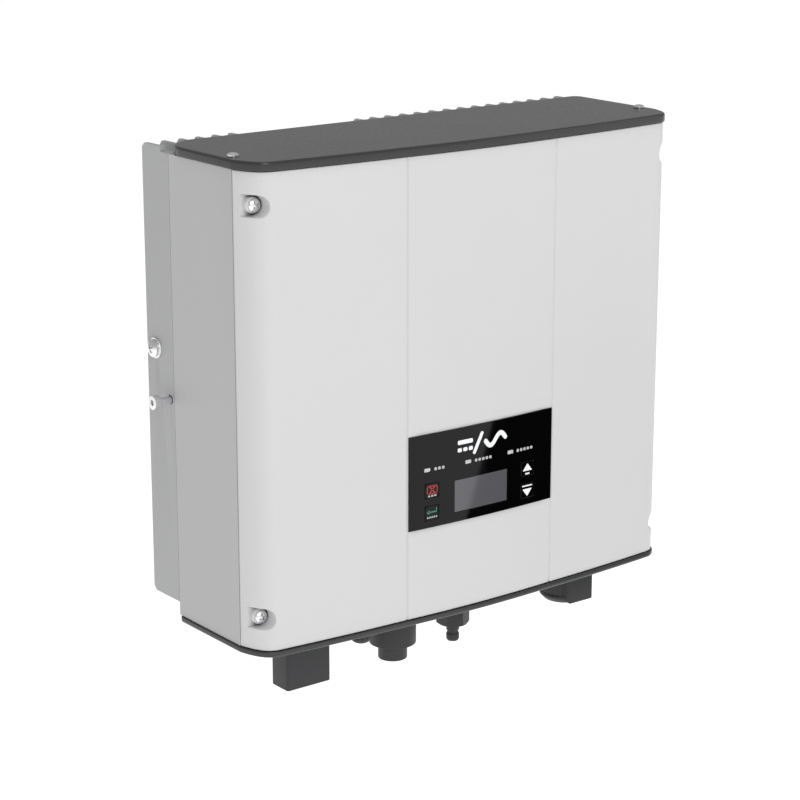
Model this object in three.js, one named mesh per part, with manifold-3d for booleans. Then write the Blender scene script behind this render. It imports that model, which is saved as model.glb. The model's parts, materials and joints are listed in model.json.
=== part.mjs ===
// A wall-hung string inverter: a finned aluminium back, a sheet case with a bowed front cover, a dark lid
// and bottom plate, a glossy display with four keys, and the connectors and isolator underneath.
// Millimetres, +Z up. The front looks along -Y and the wall is at the back.
//
// The pieces are laid out in the case's own frame: X is 0 in the middle, Y is 0 where the front would meet
// the sides, and Z is 0 on top of the bottom plate. The last lines move the whole object so that its origin
// is the middle of the wall bracket's back face.

import * as THREE from 'three';
import { mergeVertices } from 'three/addons/utils/BufferGeometryUtils.js';
import Module from 'manifold-3d';

const wasm = await Module();
wasm.setup();

// ---- driving dimensions ----

const bodyWidth = 298;
const bodyHeight = 263.5;        // bottom plate's top to the lid's underside
const caseDepth = 79;            // front corners to the heat sink's face
const frontBow = 8;              // the middle of the front stands this far ahead of its corners
const stripHalf = 52.5;          // the middle strip's half width
const stripCrown = 0.7;          // extra bow of the middle strip
const cornerAcross = 13;         // the front corner's rounding, measured along X
const cornerLean = 12;           // degrees by which the cover's edge still leans at the seam
const returnDepth = 17.2;        // the cover wraps back this far
const coverWall = 2;
const caseWall = 2;
const seam = 0.3;                // gap between pieces that meet
const grooveWidth = 0.9;
const grooveDepth = 0.5;

const lidThickness = 5;
const footThickness = 3.4;       // bottom plate
const plateOverhang = 1;
const plateEdge = 1.6;           // soft edge of lid and bottom plate
const lidOverSink = 7.8;         // how far the lid reaches over the heat sink's base
const lidRearLeft = 22;          // rear corner radii of the lid
const lidRearRight = 6;
const footRear = 4;              // rear corner radius of the bottom plate
const plateEdgeScrewInset = 5.5; // lid and plate screws from the side
const plateEdgeScrewBack = 4.5;  // and behind the case's front flange

const sinkBase = 8.1;            // heat sink's base plate
const finLength = 19.3;
const finCount = 28;
const finRoot = 3;
const finTip = 2;
const finRise = 2.8;             // fins stand this far above the lid's underside
const sinkLift = 8;              // the heat sink starts this far above the bottom plate
const sinkChamfer = 3;
const notchSpan = [-84, -12];    // fins here stop short at the top
const notchDrop = 16;
const notchDepth = 10;
const earthBack = 9.4;           // earth screw behind the fins' roots
const earthDrop = 25;            // and below the middle of the bracket
const earthBossHeight = 14;
const earthBossReach = 13;
const sideBoltDrop = 52;         // side bolt below the middle of the bracket

const bracketThickness = 2;
const bracketWidth = 170;
const bracketHeight = 75;
const bracketGap = 0.2;          // fin tips to bracket
const hangDrop = 86;             // middle of the bracket below the lid's underside
const recessDepth = 12.4;        // fins are cut back here to take the bracket's hook
const recessSpare = 5;           // room over and under the bracket
const bracketCorner = 4;
const lipInset = 15;             // bracket's lip from its ends
const wallHoleRadius = 4.3;
const wallHoleInset = 12;
const wallHoleReach = 27;        // wall holes above and below the middle
const shelfDrop = 8;             // bracket's shelf below its middle
const hookRise = 16;             // hook's roof above the bracket's middle
const hookFoot = 22;             // hook's foot below the bracket's middle
const hookLipRise = 2;
const hookInset = 5;             // hook's ends from the bracket's ends
const hookScrewX = 60;
const hookScrewDrop = 15;
const lipGap = 1.7;              // between hook and bracket lip

const coverScrewInset = 7.2;     // cover screws from the side
const coverScrewRise = 18.5;     // and from the cover's top and bottom
const pocketHeight = 12;
const pocketReach = 11.6;        // pockets run in from the side
const pocketFloor = 12;
const seatDepth = 8.2;           // the screw's seat stands up from the pocket's floor to this depth
const seatRadius = 4.4;

const overlayWidth = 104;
const overlayHeight = 54.6;
const overlayBottom = 52.5;
const overlayRecess = 0.8;
const overlayProud = 0.5;
const bedGap = 0.15;             // round the film in its recess
const windowSize = [38, 18.6];
const windowCentre = [-1.5, 67.6];
const lampSize = [4.2, 2.2];
const lampRow = 86.4;
const keySize = [9.5, 8.5];
const keyGap = 0.3;
const keyProud = 0.2;
const keyLength = 5;
const keyTravel = 0.6;

const boardThickness = 1.6;
const displayBoardWidth = 100;
const boardFront = 3;            // the display board's front
const boardSpace = 21;           // the heat sink's face to the power board's front
const boardHalf = 122;
const boardLow = 66;             // the power board's lower edge, above the isolator
const boardDrop = 25.5;          // the power board's upper edge below the lid's underside
const boardInset = 8;            // the power board's screws from its edges
const boardBossRadius = 4.5;     // bosses on the heat sink that carry the power board

const flangeWidth = 20;          // case's front and rear flanges
const flangeDrop = 7;            // and those along its top and bottom
const lugSize = [11, 14];        // lugs behind the cover screws
const ribOutside = 131.5;        // rib inside the cover that carries the gasket
const ribThickness = 2;
const ribDrop = 6;
const gasketThickness = 2.2;

const screwHole = 2.3;           // hole radii
const edgeScrewHole = 2.1;
const threadHole = 2.7;

const serviceInset = 20.5;       // connectors and isolator stand in one row, this far behind the frame
const handleX = -94.4;
const handleLength = 30;
const handleThickness = 16;
const handleCorner = 1.6;
const bossRadius = 22.1;         // round foot of the handle
const bossEnd = 14;
const shaftRadius = 3.5;
const isolatorNeck = 9;
const isolatorFloor = 11;        // the isolator's body stands on the case's lower flange
const isolatorSize = [42, 32, 46];
const handleEnd = 41;            // lowest point of the handle under the bottom plate's top
const glandX = -60;
const glandAhead = 11;           // the gland stands this far ahead of the row
const ventTurn = 40.6;           // degrees ahead of the row, about the positive receptacle
const ventGap = 0.7;             // vent to collar
const ventRadius = 5.8;
const collarRadius = 13.8;       // positive receptacle's collar
const glandThread = 5.5;
const ventThread = 4;
const holeClearance = 0.3;
const positiveX = -28.9;
const negativeX = 16.2;
const acX = 104;
const wideNose = 8.6;            // positive receptacle
const wideSocket = 5.4;
const wideEnd = -41;
const wideCollar = -31.5;
const pvThread = 8;
const hexFlats = 15;             // negative receptacle
const narrowNose = 3.9;
const narrowBore = 2.2;
const narrowEnd = -41;
const narrowShoulder = -30;
const narrowThread = 5;
const nutLevels = [4, 10];       // nuts inside the case
const acBarrel = 10.5;           // grid connector
const acFlange = 34;
const acFlangeThickness = 3;
const acBarrelEnd = -22;
const capRadius = 15;            // its dust cap
const capEnd = -33;
const padSize = [22, 7];         // flat pad on the cap's front

// ---- sizes that follow ----

const halfWidth = bodyWidth / 2;
const sinkFace = caseDepth;
const finStart = sinkFace + sinkBase;
const sinkBack = finStart + finLength;
const sinkTop = bodyHeight + finRise;
const bracketFront = sinkBack + bracketGap;
const wallPlane = bracketFront + bracketThickness;
const recessFloor = sinkBack - recessDepth;
const frameFront = returnDepth + seam;
const frameBack = caseDepth - seam;
const overlayTop = overlayBottom + overlayHeight;
const coverScrewX = halfWidth - coverScrewInset;
const coverScrewZ = [coverScrewRise, bodyHeight - coverScrewRise];

const hangHeight = bodyHeight - hangDrop;
const flangeBack = frameFront + caseWall;
const serviceRow = frameFront + serviceInset;
const glandPlace = [glandX, serviceRow - glandAhead];
const ventReach = collarRadius + ventRadius + ventGap;
const ventPlace = [positiveX + ventReach * Math.cos(THREE.MathUtils.degToRad(ventTurn)),
  serviceRow - ventReach * Math.sin(THREE.MathUtils.degToRad(ventTurn))];
const boardY = sinkFace - boardSpace;
const boardBack = boardY + boardThickness;
const boardLevels = [boardLow, bodyHeight - boardDrop];

const earthPlace = [finStart + earthBack, hangHeight - earthDrop];      // on the left side: Y and Z
const sideBoltPlace = [sinkFace + sinkBase / 2, hangHeight - sideBoltDrop];
const hookScrewZ = hangHeight - hookScrewDrop;
const hookPlateBack = recessFloor + seam + bracketThickness;
const lipFront = hookPlateBack + lipGap;
const lipBack = lipFront + bracketThickness;
const hookLipFront = lipBack + lipGap;
const hookLipBack = hookLipFront + bracketThickness;
const shelfZ = hangHeight - shelfDrop;
const hookRoof = hangHeight + hookRise;
const edgeScrewX = halfWidth - plateEdgeScrewInset;
const edgeScrewY = flangeBack + plateEdgeScrewBack;
const lugFront = pocketFloor + coverWall + seam;
const underPlate = -footThickness - seam;
const underFlange = underPlate - acFlangeThickness;

const rad = THREE.MathUtils.degToRad;

// ---- finishes ----

const finishes = {
  coverPaint: { color: 0xd9dadb, roughness: 0.45, metalness: 0.1 },
  casePaint: { color: 0xb7b8b9, roughness: 0.5, metalness: 0.1 },
  sinkMetal: { color: 0xacadae, roughness: 0.5, metalness: 0.5 },
  darkPaint: { color: 0x5c5d5f, roughness: 0.4, metalness: 0.1 },
  steel: { color: 0xd5d6d8, roughness: 0.25, metalness: 0.95 },
  zinc: { color: 0xb9bdc2, roughness: 0.35, metalness: 0.9 },
  rubber: { color: 0x1c1c1d, roughness: 0.9, metalness: 0 },
  gloss: { color: 0x08090b, roughness: 0.08, metalness: 0 },
  windowPane: { color: 0x7c8288, roughness: 0.08, metalness: 0 },
  lamp: { color: 0xd8dcd6, roughness: 0.2, metalness: 0 },
  blackPlastic: { color: 0x2f3032, roughness: 0.55, metalness: 0 },
  board: { color: 0x1f5b3a, roughness: 0.5, metalness: 0 },
  sleeve: { color: 0x20242c, roughness: 0.35, metalness: 0 },
  ferrite: { color: 0x2b2c2e, roughness: 0.7, metalness: 0.1 },
  copper: { color: 0xa5582c, roughness: 0.4, metalness: 0.8 },
  relayCase: { color: 0x2a4f8c, roughness: 0.4, metalness: 0 },
  terminal: { color: 0x3f7f4d, roughness: 0.5, metalness: 0 },
  module: { color: 0x26282a, roughness: 0.6, metalness: 0 },
  pad: { color: 0x9aa3ab, roughness: 0.9, metalness: 0 },
};

// ---- solids ----

// A closed geometry as a solid that can be joined and cut.
function solidOf(geometry) {
  const bare = geometry.clone();
  bare.deleteAttribute('normal');
  bare.deleteAttribute('uv');
  const merged = mergeVertices(bare, 1e-4);
  const index = merged.index.array;
  const triVerts = [];
  for (let i = 0; i < index.length; i += 3) {
    const [a, b, c] = index.slice(i, i + 3);
    if (a !== b && b !== c && c !== a) triVerts.push(a, b, c);
  }
  return new wasm.Manifold(new wasm.Mesh({
    numProp: 3,
    vertProperties: Float32Array.from(merged.attributes.position.array),
    triVerts: Uint32Array.from(triVerts),
  }));
}

const asSolid = (shape) => (shape.isBufferGeometry ? solidOf(shape) : shape);

const join = (...shapes) => shapes.map(asSolid).reduce((sum, shape) => sum.add(shape));

const cut = (body, ...tools) => tools.map(asSolid)
  .reduce((rest, tool) => rest.subtract(tool), asSolid(body));

const common = (one, other) => asSolid(one).intersect(asSolid(other));

function geometryOf(solid) {
  const mesh = solid.getMesh();
  const geometry = new THREE.BufferGeometry();
  geometry.setAttribute('position', new THREE.BufferAttribute(Float32Array.from(mesh.vertProperties), 3));
  geometry.setIndex(new THREE.BufferAttribute(Uint32Array.from(mesh.triVerts), 1));
  geometry.computeVertexNormals();
  return geometry;
}

// ---- shapes ----

function block([x0, x1], [y0, y1], [z0, z1]) {
  const shape = new THREE.BoxGeometry(x1 - x0, y1 - y0, z1 - z0);
  return shape.translate((x0 + x1) / 2, (y0 + y1) / 2, (z0 + z1) / 2);
}

const around = (centre, size) => [centre - size / 2, centre + size / 2];

const carried = (outline, depth) => new THREE.ExtrudeGeometry(
  new THREE.Shape(outline), { depth, bevelEnabled: false });

// An outline in X and Y, carried up from z0 to z1.
function upright(outline, z0, z1) {
  const shape = carried(outline, z1 - z0);
  return shape.translate(0, 0, z0);
}

// An outline in X and Z, carried back from y0 to y1.
function facing(outline, y0, y1) {
  const shape = carried(outline, y1 - y0);
  return shape.rotateX(Math.PI / 2).translate(0, y1, 0);
}

// An outline in Y and Z, carried along X from x0 to x1.
function sideways(outline, x0, x1) {
  const shape = carried(outline, x1 - x0);
  const turn = new THREE.Matrix4().makeBasis(
    new THREE.Vector3(0, 1, 0), new THREE.Vector3(0, 0, 1), new THREE.Vector3(1, 0, 0));
  return shape.applyMatrix4(turn).translate(x0, 0, 0);
}

// A piece turned about Z from [radius, height] pairs that start and end on the axis, lowest first.
function turned(profile, sides = 20) {
  const points = profile.map(([radius, height]) => new THREE.Vector2(radius, height));
  return new THREE.LatheGeometry(points, sides).rotateX(Math.PI / 2);
}

// A round bar about Z, and the same with flats.
const bar = (radius, z0, z1, sides = 20) => turned([[0, z0], [radius, z0], [radius, z1], [0, z1]], sides);
const hexBar = (acrossFlats, z0, z1) => bar(acrossFlats / Math.sqrt(3), z0, z1, 6);

// A bar about Z turned to lie along Y, so that what was up points back.
const layBack = (shape) => shape.rotateX(-Math.PI / 2);

// A closed run round a rectangle with round corners, in two coordinates.
function roundedRectangle([u0, u1], [v0, v1], radius, steps = 4) {
  const corners = [[u1 - radius, v0 + radius, -90], [u1 - radius, v1 - radius, 0],
    [u0 + radius, v1 - radius, 90], [u0 + radius, v0 + radius, 180]];
  return corners.flatMap(([u, v, start]) => arc(u, v, radius, start, start + 90, steps));
}

function arc(u, v, radius, start, end, steps) {
  return Array.from({ length: steps + 1 }, (_, i) => {
    const angle = rad(start + (end - start) * i / steps);
    return new THREE.Vector2(u + radius * Math.cos(angle), v + radius * Math.sin(angle));
  });
}

// ---- the front's plan ----

// How far the front stands back from the corner plane at x. The middle strip has a bow of its own.
function frontY(x) {
  const bow = -frontBow * (1 - (x / halfWidth) ** 2);
  const crown = Math.abs(x) < stripHalf ? -stripCrown * (1 - (x / stripHalf) ** 2) : 0;
  return bow + crown;
}

const frontSlope = (x) => 2 * frontBow * x / halfWidth ** 2;

function spread(from, to, steps) {
  return Array.from({ length: steps + 1 }, (_, i) => from + (to - from) * i / steps);
}

// The right corner, from the front to the seam, as one smooth curve.
function cornerCurve() {
  const startX = halfWidth - cornerAcross;
  const start = new THREE.Vector2(startX, frontY(startX));
  const end = new THREE.Vector2(halfWidth, returnDepth);
  const leave = new THREE.Vector2(1, frontSlope(startX)).normalize();
  const arrive = new THREE.Vector2(Math.sin(rad(cornerLean)), Math.cos(rad(cornerLean)));
  const reach = 0.55;
  return new THREE.CubicBezierCurve(
    start,
    start.clone().addScaledVector(leave, reach * cornerAcross),
    end.clone().addScaledVector(arrive, -reach * (end.y - start.y)),
    end);
}

// The cover's outside from the left seam round the front to the right seam.
function frontLine() {
  const edge = halfWidth - cornerAcross;
  const across = [...spread(-edge, -stripHalf, 6), ...spread(-stripHalf, stripHalf, 10).slice(1),
    ...spread(stripHalf, edge, 6).slice(1)];
  const corner = cornerCurve().getPoints(7).slice(1);
  const mirrored = corner.map((p) => new THREE.Vector2(-p.x, p.y)).reverse();
  return [...mirrored, ...across.map((x) => new THREE.Vector2(x, frontY(x))), ...corner];
}

// The same line moved out by a distance, or in where the distance is negative.
function movedOut(line, distance) {
  return line.map((point, i) => {
    const before = line[Math.max(i - 1, 0)];
    const after = line[Math.min(i + 1, line.length - 1)];
    const along = after.clone().sub(before).normalize();
    return new THREE.Vector2(point.x + along.y * distance, point.y - along.x * distance);
  });
}

// The line closed by straight sides back to y, at a half width.
function closedPlan(line, half, back) {
  const inner = line.map((p) => new THREE.Vector2(THREE.MathUtils.clamp(p.x, -half, half), p.y));
  return [...inner, new THREE.Vector2(half, back), new THREE.Vector2(-half, back)];
}

// ---- pieces ----

const parts = new THREE.Group();

function addPiece(name, shape, finish, place = [0, 0, 0], turn = [0, 0, 0]) {
  const mesh = new THREE.Mesh(geometryOf(asSolid(shape)), new THREE.MeshStandardMaterial(finishes[finish]));
  mesh.name = name;
  mesh.position.set(...place);
  mesh.rotation.set(...turn.map(rad));
  parts.add(mesh);
}

// ---- heat sink ----

function finnedSection() {
  const pitch = (bodyWidth - finRoot) / (finCount - 1);
  const outline = [new THREE.Vector2(-halfWidth, sinkFace), new THREE.Vector2(halfWidth, sinkFace)];
  for (let i = finCount - 1; i >= 0; i -= 1) {
    const x = -halfWidth + finRoot / 2 + i * pitch;
    const rightRoot = i === finCount - 1 ? halfWidth : x + finRoot / 2;
    const leftRoot = i === 0 ? -halfWidth : x - finRoot / 2;
    const rightTip = i === finCount - 1 ? halfWidth : x + finTip / 2;
    const leftTip = i === 0 ? -halfWidth : x - finTip / 2;
    const soft = finTip / 3;
    if (i < finCount - 1) outline.push(new THREE.Vector2(rightRoot, finStart));
    outline.push(new THREE.Vector2(rightTip, sinkBack - soft), new THREE.Vector2(rightTip - soft, sinkBack));
    outline.push(new THREE.Vector2(leftTip + soft, sinkBack), new THREE.Vector2(leftTip, sinkBack - soft));
    if (i > 0) outline.push(new THREE.Vector2(leftRoot, finStart));
  }
  return outline;
}

function heatSink() {
  const fins = upright(finnedSection(), sinkLift, sinkTop);
  const wide = [-halfWidth - 1, halfWidth + 1];
  const overBase = block(wide, [sinkFace - 1, finStart], [bodyHeight - seam, sinkTop + 1]);
  const chamfer = (z, up) => sideways([
    new THREE.Vector2(sinkBack - sinkChamfer - 1, z + up), new THREE.Vector2(sinkBack + 1, z + up),
    new THREE.Vector2(sinkBack + 1, z - up * (sinkChamfer + 1)),
  ], ...wide);
  const recess = block(around(0, bracketWidth + 22), [recessFloor, sinkBack + 1],
    around(hangHeight, bracketHeight + 2 * recessSpare));
  const notch = block(notchSpan, [sinkBack - notchDepth, sinkBack + 1], [sinkTop - notchDrop, sinkTop + 1]);
  const bosses = [-1, 1].map((side) => block(
    around(side * hookScrewX, 12), [finStart - 1, recessFloor], around(hookScrewZ, 14)));
  const earthBoss = block([-halfWidth, -halfWidth + earthBossReach], [finStart - 1, sinkBack - 3],
    around(earthPlace[1], earthBossHeight));
  const sideHole = ([y, z], depth) => bar(threadHole, 0, depth, 12).rotateY(Math.PI / 2)
    .translate(-halfWidth - 1, y, z);
  const hookHoles = [-1, 1].map((side) => layBack(bar(threadHole, -12, 1, 12))
    .translate(side * hookScrewX, recessFloor, hookScrewZ));
  const boardBosses = boardBossPlaces().map(([x, z]) => layBack(
    bar(boardBossRadius, 0, sinkFace - boardBack - seam + 1, 10)).translate(x, boardBack + seam, z));
  const bodied = join(cut(fins, overBase, chamfer(sinkTop, 1), chamfer(sinkLift, -1), recess, notch),
    ...bosses, ...boardBosses, earthBoss);
  return cut(bodied, sideHole(earthPlace, 12), sideHole(sideBoltPlace, 22), ...hookHoles);
}

addPiece('heat_sink', heatSink(), 'sinkMetal');

function boardBossPlaces() {
  return [-1, 1].flatMap((side) => [boardLevels[0] + boardInset, boardLevels[1] - boardInset]
    .map((z) => [side * (boardHalf - boardInset), z]));
}

// ---- wall bracket and the hook that hangs on it ----

function wallBracket() {
  const outline = roundedRectangle(
    around(0, bracketWidth), around(hangHeight, bracketHeight), bracketCorner);
  const plate = facing(outline, bracketFront, wallPlane);
  const lipHalf = bracketWidth / 2 - lipInset;
  const shelfFoot = shelfZ - bracketThickness;
  const shelf = block([-lipHalf, lipHalf], [lipFront, bracketFront + 1], [shelfFoot, shelfZ]);
  const lip = block([-lipHalf, lipHalf], [lipFront, lipBack], [shelfFoot, hookRoof - seam]);
  const holes = [-1, 1].flatMap((side) => [-1, 1].map((level) => layBack(bar(wallHoleRadius, -4, 2, 16))
    .translate(side * (bracketWidth / 2 - wallHoleInset), wallPlane, hangHeight + level * wallHoleReach)));
  return cut(join(plate, shelf, lip), ...holes);
}

function sinkHook() {
  const half = bracketWidth / 2 - hookInset;
  const span = [-half, half];
  const roof = [hookRoof, hookRoof + bracketThickness];
  const plate = block(span, [recessFloor + seam, hookPlateBack], [hangHeight - hookFoot, roof[1]]);
  const top = block(span, [recessFloor + seam, hookLipBack], roof);
  const lip = block(span, [hookLipFront, hookLipBack], [hangHeight + hookLipRise, roof[1]]);
  const holes = [-1, 1].map((side) => layBack(bar(threadHole, -4, 1, 12))
    .translate(side * hookScrewX, hookPlateBack, hookScrewZ));
  return cut(join(plate, top, lip), ...holes);
}

// A pan-head screw about Z: its head sits on z = 0 and its shank points down. A cross is cut in the head.
function panScrew(headRadius, headHeight, shankRadius, length, crossed = true) {
  const body = turned([[0, -length], [shankRadius * 0.7, -length], [shankRadius, -length + 1],
    [shankRadius, 0], [headRadius, 0], [headRadius, headHeight * 0.45], [headRadius * 0.72, headHeight],
    [0, headHeight]], 14);
  if (!crossed) return body;
  const slot = headRadius * 0.9;
  const floor = headHeight * 0.45;
  return cut(body,
    block(around(0, slot), around(0, slot / 4), [floor, headHeight + 1]),
    block(around(0, slot / 4), around(0, slot), [floor, headHeight + 1]));
}

addPiece('wall_bracket', wallBracket(), 'zinc');
addPiece('sink_hook', sinkHook(), 'zinc');
[-1, 1].forEach((side, i) => addPiece(`hook_screw_${i + 1}`, panScrew(4.4, 2.6, 2.3, 10, false), 'steel',
  [side * hookScrewX, hookPlateBack, hookScrewZ], [-90, 0, 0]));

// ---- earth screw and side bolt on the heat sink's left edge ----

const washerThickness = 1;

addPiece('earth_washer', cut(bar(6, 0, washerThickness, 18), bar(threadHole, -1, 2, 12)), 'steel',
  [-halfWidth, ...earthPlace], [0, -90, 0]);
addPiece('earth_screw', panScrew(5, 3.4, 2.3, 9), 'steel',
  [-halfWidth - washerThickness, ...earthPlace], [0, -90, 0]);

function sideBolt() {
  const body = turned([[0, -16], [2.3, -16], [2.3, 8], [3.9, 8], [3.9, 12], [0, 12]], 14);
  return cut(body, hexBar(3.2, 9.5, 13));
}

addPiece('side_bolt', sideBolt(), 'steel', [-halfWidth, ...sideBoltPlace], [0, -90, 0]);

// ---- case frame ----

function caseFrame() {
  const low = seam;
  const high = bodyHeight - seam;
  const shell = block([-halfWidth, halfWidth], [frameFront, frameBack], [low, high]);
  const inner = halfWidth - caseWall;
  const room = block([-inner, inner], [frameFront + caseWall, frameBack - caseWall],
    [low + caseWall, high - caseWall]);
  const open = inner - flangeWidth;
  const through = block([-open, open], [frameFront - 1, frameBack + 1],
    [low + caseWall + flangeDrop, high - caseWall - flangeDrop]);
  const insideCover = upright(closedPlan(movedOut(frontLine(), -coverWall - 2 * seam),
    inner - 2 * seam, frameFront + caseWall), low, high);
  const lugs = [-1, 1].flatMap((side) => coverScrewZ.map((z) => common(insideCover, block(
    around(side * coverScrewX, lugSize[0]), [lugFront, frameFront + caseWall], around(z, lugSize[1])))));
  const screwHoles = [-1, 1].flatMap((side) => coverScrewZ.map((z) => layBack(bar(screwHole, 0, 14, 12))
    .translate(side * coverScrewX, lugFront - 1, z)));
  const edgeHoles = [-1, 1].flatMap((side) => [low, high].map((z) => bar(edgeScrewHole, -4, 4, 12)
    .translate(side * edgeScrewX, edgeScrewY, z)));
  const services = serviceHoles().map(([x, y, radius]) => bar(radius + 1, -3, 9).translate(x, y, low));
  return cut(join(cut(shell, room, through), ...lugs), ...screwHoles, ...edgeHoles, ...services);
}

// ---- holes in the bottom for the services, as x, y and radius ----

function serviceHoles() {
  return [
    [handleX, serviceRow, isolatorNeck],
    [...glandPlace, glandThread],
    [...ventPlace, ventThread],
    [positiveX, serviceRow, pvThread],
    [negativeX, serviceRow, narrowThread],
    [acX, serviceRow, acBarrel],
  ].map(([x, y, radius]) => [x, y, radius + holeClearance]);
}

addPiece('case_frame', caseFrame(), 'casePaint');

// ---- front cover ----

// The pocket of one cover screw, seen from the front: open at the side, round at its inner end.
function pocketOutline(side, z, wall) {
  const radius = pocketHeight / 2 + wall;
  const inner = halfWidth - pocketReach + pocketHeight / 2;
  const outer = halfWidth + 3;
  const round = arc(side * inner, z, radius, side > 0 ? 90 : -90, side > 0 ? 270 : 90, 8);
  const open = [-side, side].map((up) => new THREE.Vector2(side * outer, z + up * radius));
  return [...round, ...open];
}

function displayCuts() {
  const through = [-20, 5];
  const wide = (size, more) => size.map((length) => length + 2 * more);
  const [windowWide, windowTall] = wide(windowSize, 0.5);
  const [keyWide, keyTall] = wide(keySize, keyGap);
  const [lampWide, lampTall] = wide(lampSize, keyGap);
  return [
    block(around(windowCentre[0], windowWide), through, around(windowCentre[1], windowTall)),
    ...keys().map(({ x, z }) => block(around(x, keyWide), through, around(z, keyTall))),
    ...lamps().map(({ x }) => block(around(x, lampWide), through, around(lampRow, lampTall))),
  ];
}

function frontCover() {
  const low = seam;
  const high = bodyHeight - seam;
  const line = frontLine();
  const full = solidOf(upright(closedPlan(line, halfWidth, returnDepth), low, high));
  const inside = upright(closedPlan(movedOut(line, -coverWall), halfWidth - coverWall, returnDepth + 1),
    low + coverWall, high - coverWall);
  const cups = [-1, 1].flatMap((side) => coverScrewZ.map((z) => common(full,
    facing(pocketOutline(side, z, coverWall), -20, pocketFloor + coverWall))));
  const seat = (side, z, radius, y0, y1) => layBack(bar(radius, y0, y1, 16))
    .translate(side * coverScrewX, 0, z);
  const pockets = [-1, 1].flatMap((side) => coverScrewZ.map((z) => cut(
    facing(pocketOutline(side, z, 0), -20, pocketFloor),
    seat(side, z, seatRadius, seatDepth, pocketFloor + 1))));
  const screwHoles = [-1, 1].flatMap((side) => coverScrewZ.map((z) => seat(
    side, z, screwHole, seatDepth - 1, pocketFloor + coverWall + 1)));
  const ribLevels = [low + ribDrop, high - ribDrop];
  const ribInside = ribOutside - ribThickness;
  const rib = common(full, cut(
    block([-ribOutside, ribOutside], [-20, returnDepth - gasketThickness - seam], ribLevels),
    block([-ribInside, ribInside], [-21, returnDepth],
      [ribLevels[0] + ribThickness, ribLevels[1] - ribThickness])));
  const posts = [-1, 1].flatMap((side) => [overlayBottom + 1.5, overlayTop - 1.5].map((z) => common(full,
    layBack(bar(2.5, -20, boardFront - seam, 12)).translate(side * 47, 0, z))));
  const bed = upright(curvedStrip(overlayWidth / 2 + bedGap, -2, overlayRecess),
    overlayBottom - bedGap, overlayTop + bedGap);
  const grooves = [-1, 1].map((side) => upright([
    new THREE.Vector2(side * stripHalf - grooveWidth / 2, frontY(stripHalf) - 0.2),
    new THREE.Vector2(side * stripHalf + grooveWidth / 2, frontY(stripHalf) - 0.2),
    new THREE.Vector2(side * stripHalf, frontY(stripHalf) + grooveDepth),
  ], low - 1, high + 1));
  const shell = join(cut(full, inside), ...cups, rib, ...posts);
  return cut(shell, ...pockets, ...screwHoles, bed, ...grooves, ...displayCuts());
}

// A strip that follows the middle of the front, between two distances behind its surface.
function curvedStrip(half, near, far) {
  const xs = spread(-half, half, 10);
  return [...xs.map((x) => new THREE.Vector2(x, frontY(x) + near)),
    ...xs.reverse().map((x) => new THREE.Vector2(x, frontY(x) + far))];
}

// ---- keys and lamps: places ----

function keys() {
  return [
    { name: 'key_escape', x: -36.4, z: 74.2 },
    { name: 'key_enter', x: -36.4, z: 61 },
    { name: 'key_up', x: 33, z: 74.2 },
    { name: 'key_down', x: 33, z: 61 },
  ];
}

function lamps() {
  return [
    { name: 'lamp_run', x: -39.5 },
    { name: 'lamp_alarm', x: -11 },
    { name: 'lamp_fault', x: 20 },
  ];
}

addPiece('front_cover', frontCover(), 'coverPaint');

function coverGasket() {
  const ring = (half, drop, y0, y1) => block(
    [-half, half], [y0, y1], [seam + drop, bodyHeight - seam - drop]);
  const back = returnDepth;
  const front = returnDepth - gasketThickness;
  return cut(ring(ribOutside + 0.5, ribDrop - 0.5, front, back),
    ring(ribOutside - ribThickness - 0.5, ribDrop + ribThickness + 0.5, front - 1, back + 1));
}

addPiece('cover_gasket', coverGasket(), 'rubber');

const screwPlaces = [-1, 1].flatMap((side) => coverScrewZ.map((z) => [side * coverScrewX, seatDepth, z]));
screwPlaces.forEach((place, i) => addPiece(`cover_screw_${i + 1}`, panScrew(3.65, 2.8, 1.95, 15), 'steel',
  place, [90, 0, 0]));

// ---- lid and bottom plate ----

// A plate with the front's plan, soft along one edge. It is made with both edges soft and cut to leave one.
function capPlate(thickness, rear, leftRadius, rightRadius) {
  const line = movedOut(frontLine(), plateOverhang);
  const half = halfWidth + plateOverhang;
  const outline = [
    ...line.map((p) => new THREE.Vector2(THREE.MathUtils.clamp(p.x, -half, half), p.y)),
    ...arc(half - rightRadius, rear - rightRadius, rightRadius, 0, 90, 4),
    ...arc(-half + leftRadius, rear - leftRadius, leftRadius, 90, 180, 6),
  ];
  const plate = new THREE.ExtrudeGeometry(new THREE.Shape(outline), {
    depth: thickness, bevelEnabled: true, bevelSegments: 2,
    bevelThickness: plateEdge, bevelSize: plateEdge, bevelOffset: -plateEdge,
  }).translate(0, 0, -plateEdge);
  const below = block([-half - 5, half + 5], [-30, rear + 5], [-2 * plateEdge - 5, 0]);
  const holes = [-1, 1].map((side) => bar(edgeScrewHole, -1, thickness + 1, 12)
    .translate(side * edgeScrewX, edgeScrewY, 0));
  return cut(plate, below, ...holes);
}

function topLid() {
  return capPlate(lidThickness, caseDepth + lidOverSink, lidRearLeft, lidRearRight);
}

// The same kind of plate with its heights mirrored, so that its soft edge is the lower one. The mirror turns
// every triangle over, so each is put back.
function bottomPlate() {
  const plate = geometryOf(capPlate(footThickness, frameBack, footRear, footRear));
  plate.scale(1, 1, -1);
  const index = plate.index.array;
  for (let i = 0; i < index.length; i += 3) [index[i], index[i + 1]] = [index[i + 1], index[i]];
  const services = serviceHoles().map(([x, y, radius]) => bar(radius, -footThickness - 1, 1)
    .translate(x, y, 0));
  return cut(plate, ...services);
}

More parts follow.
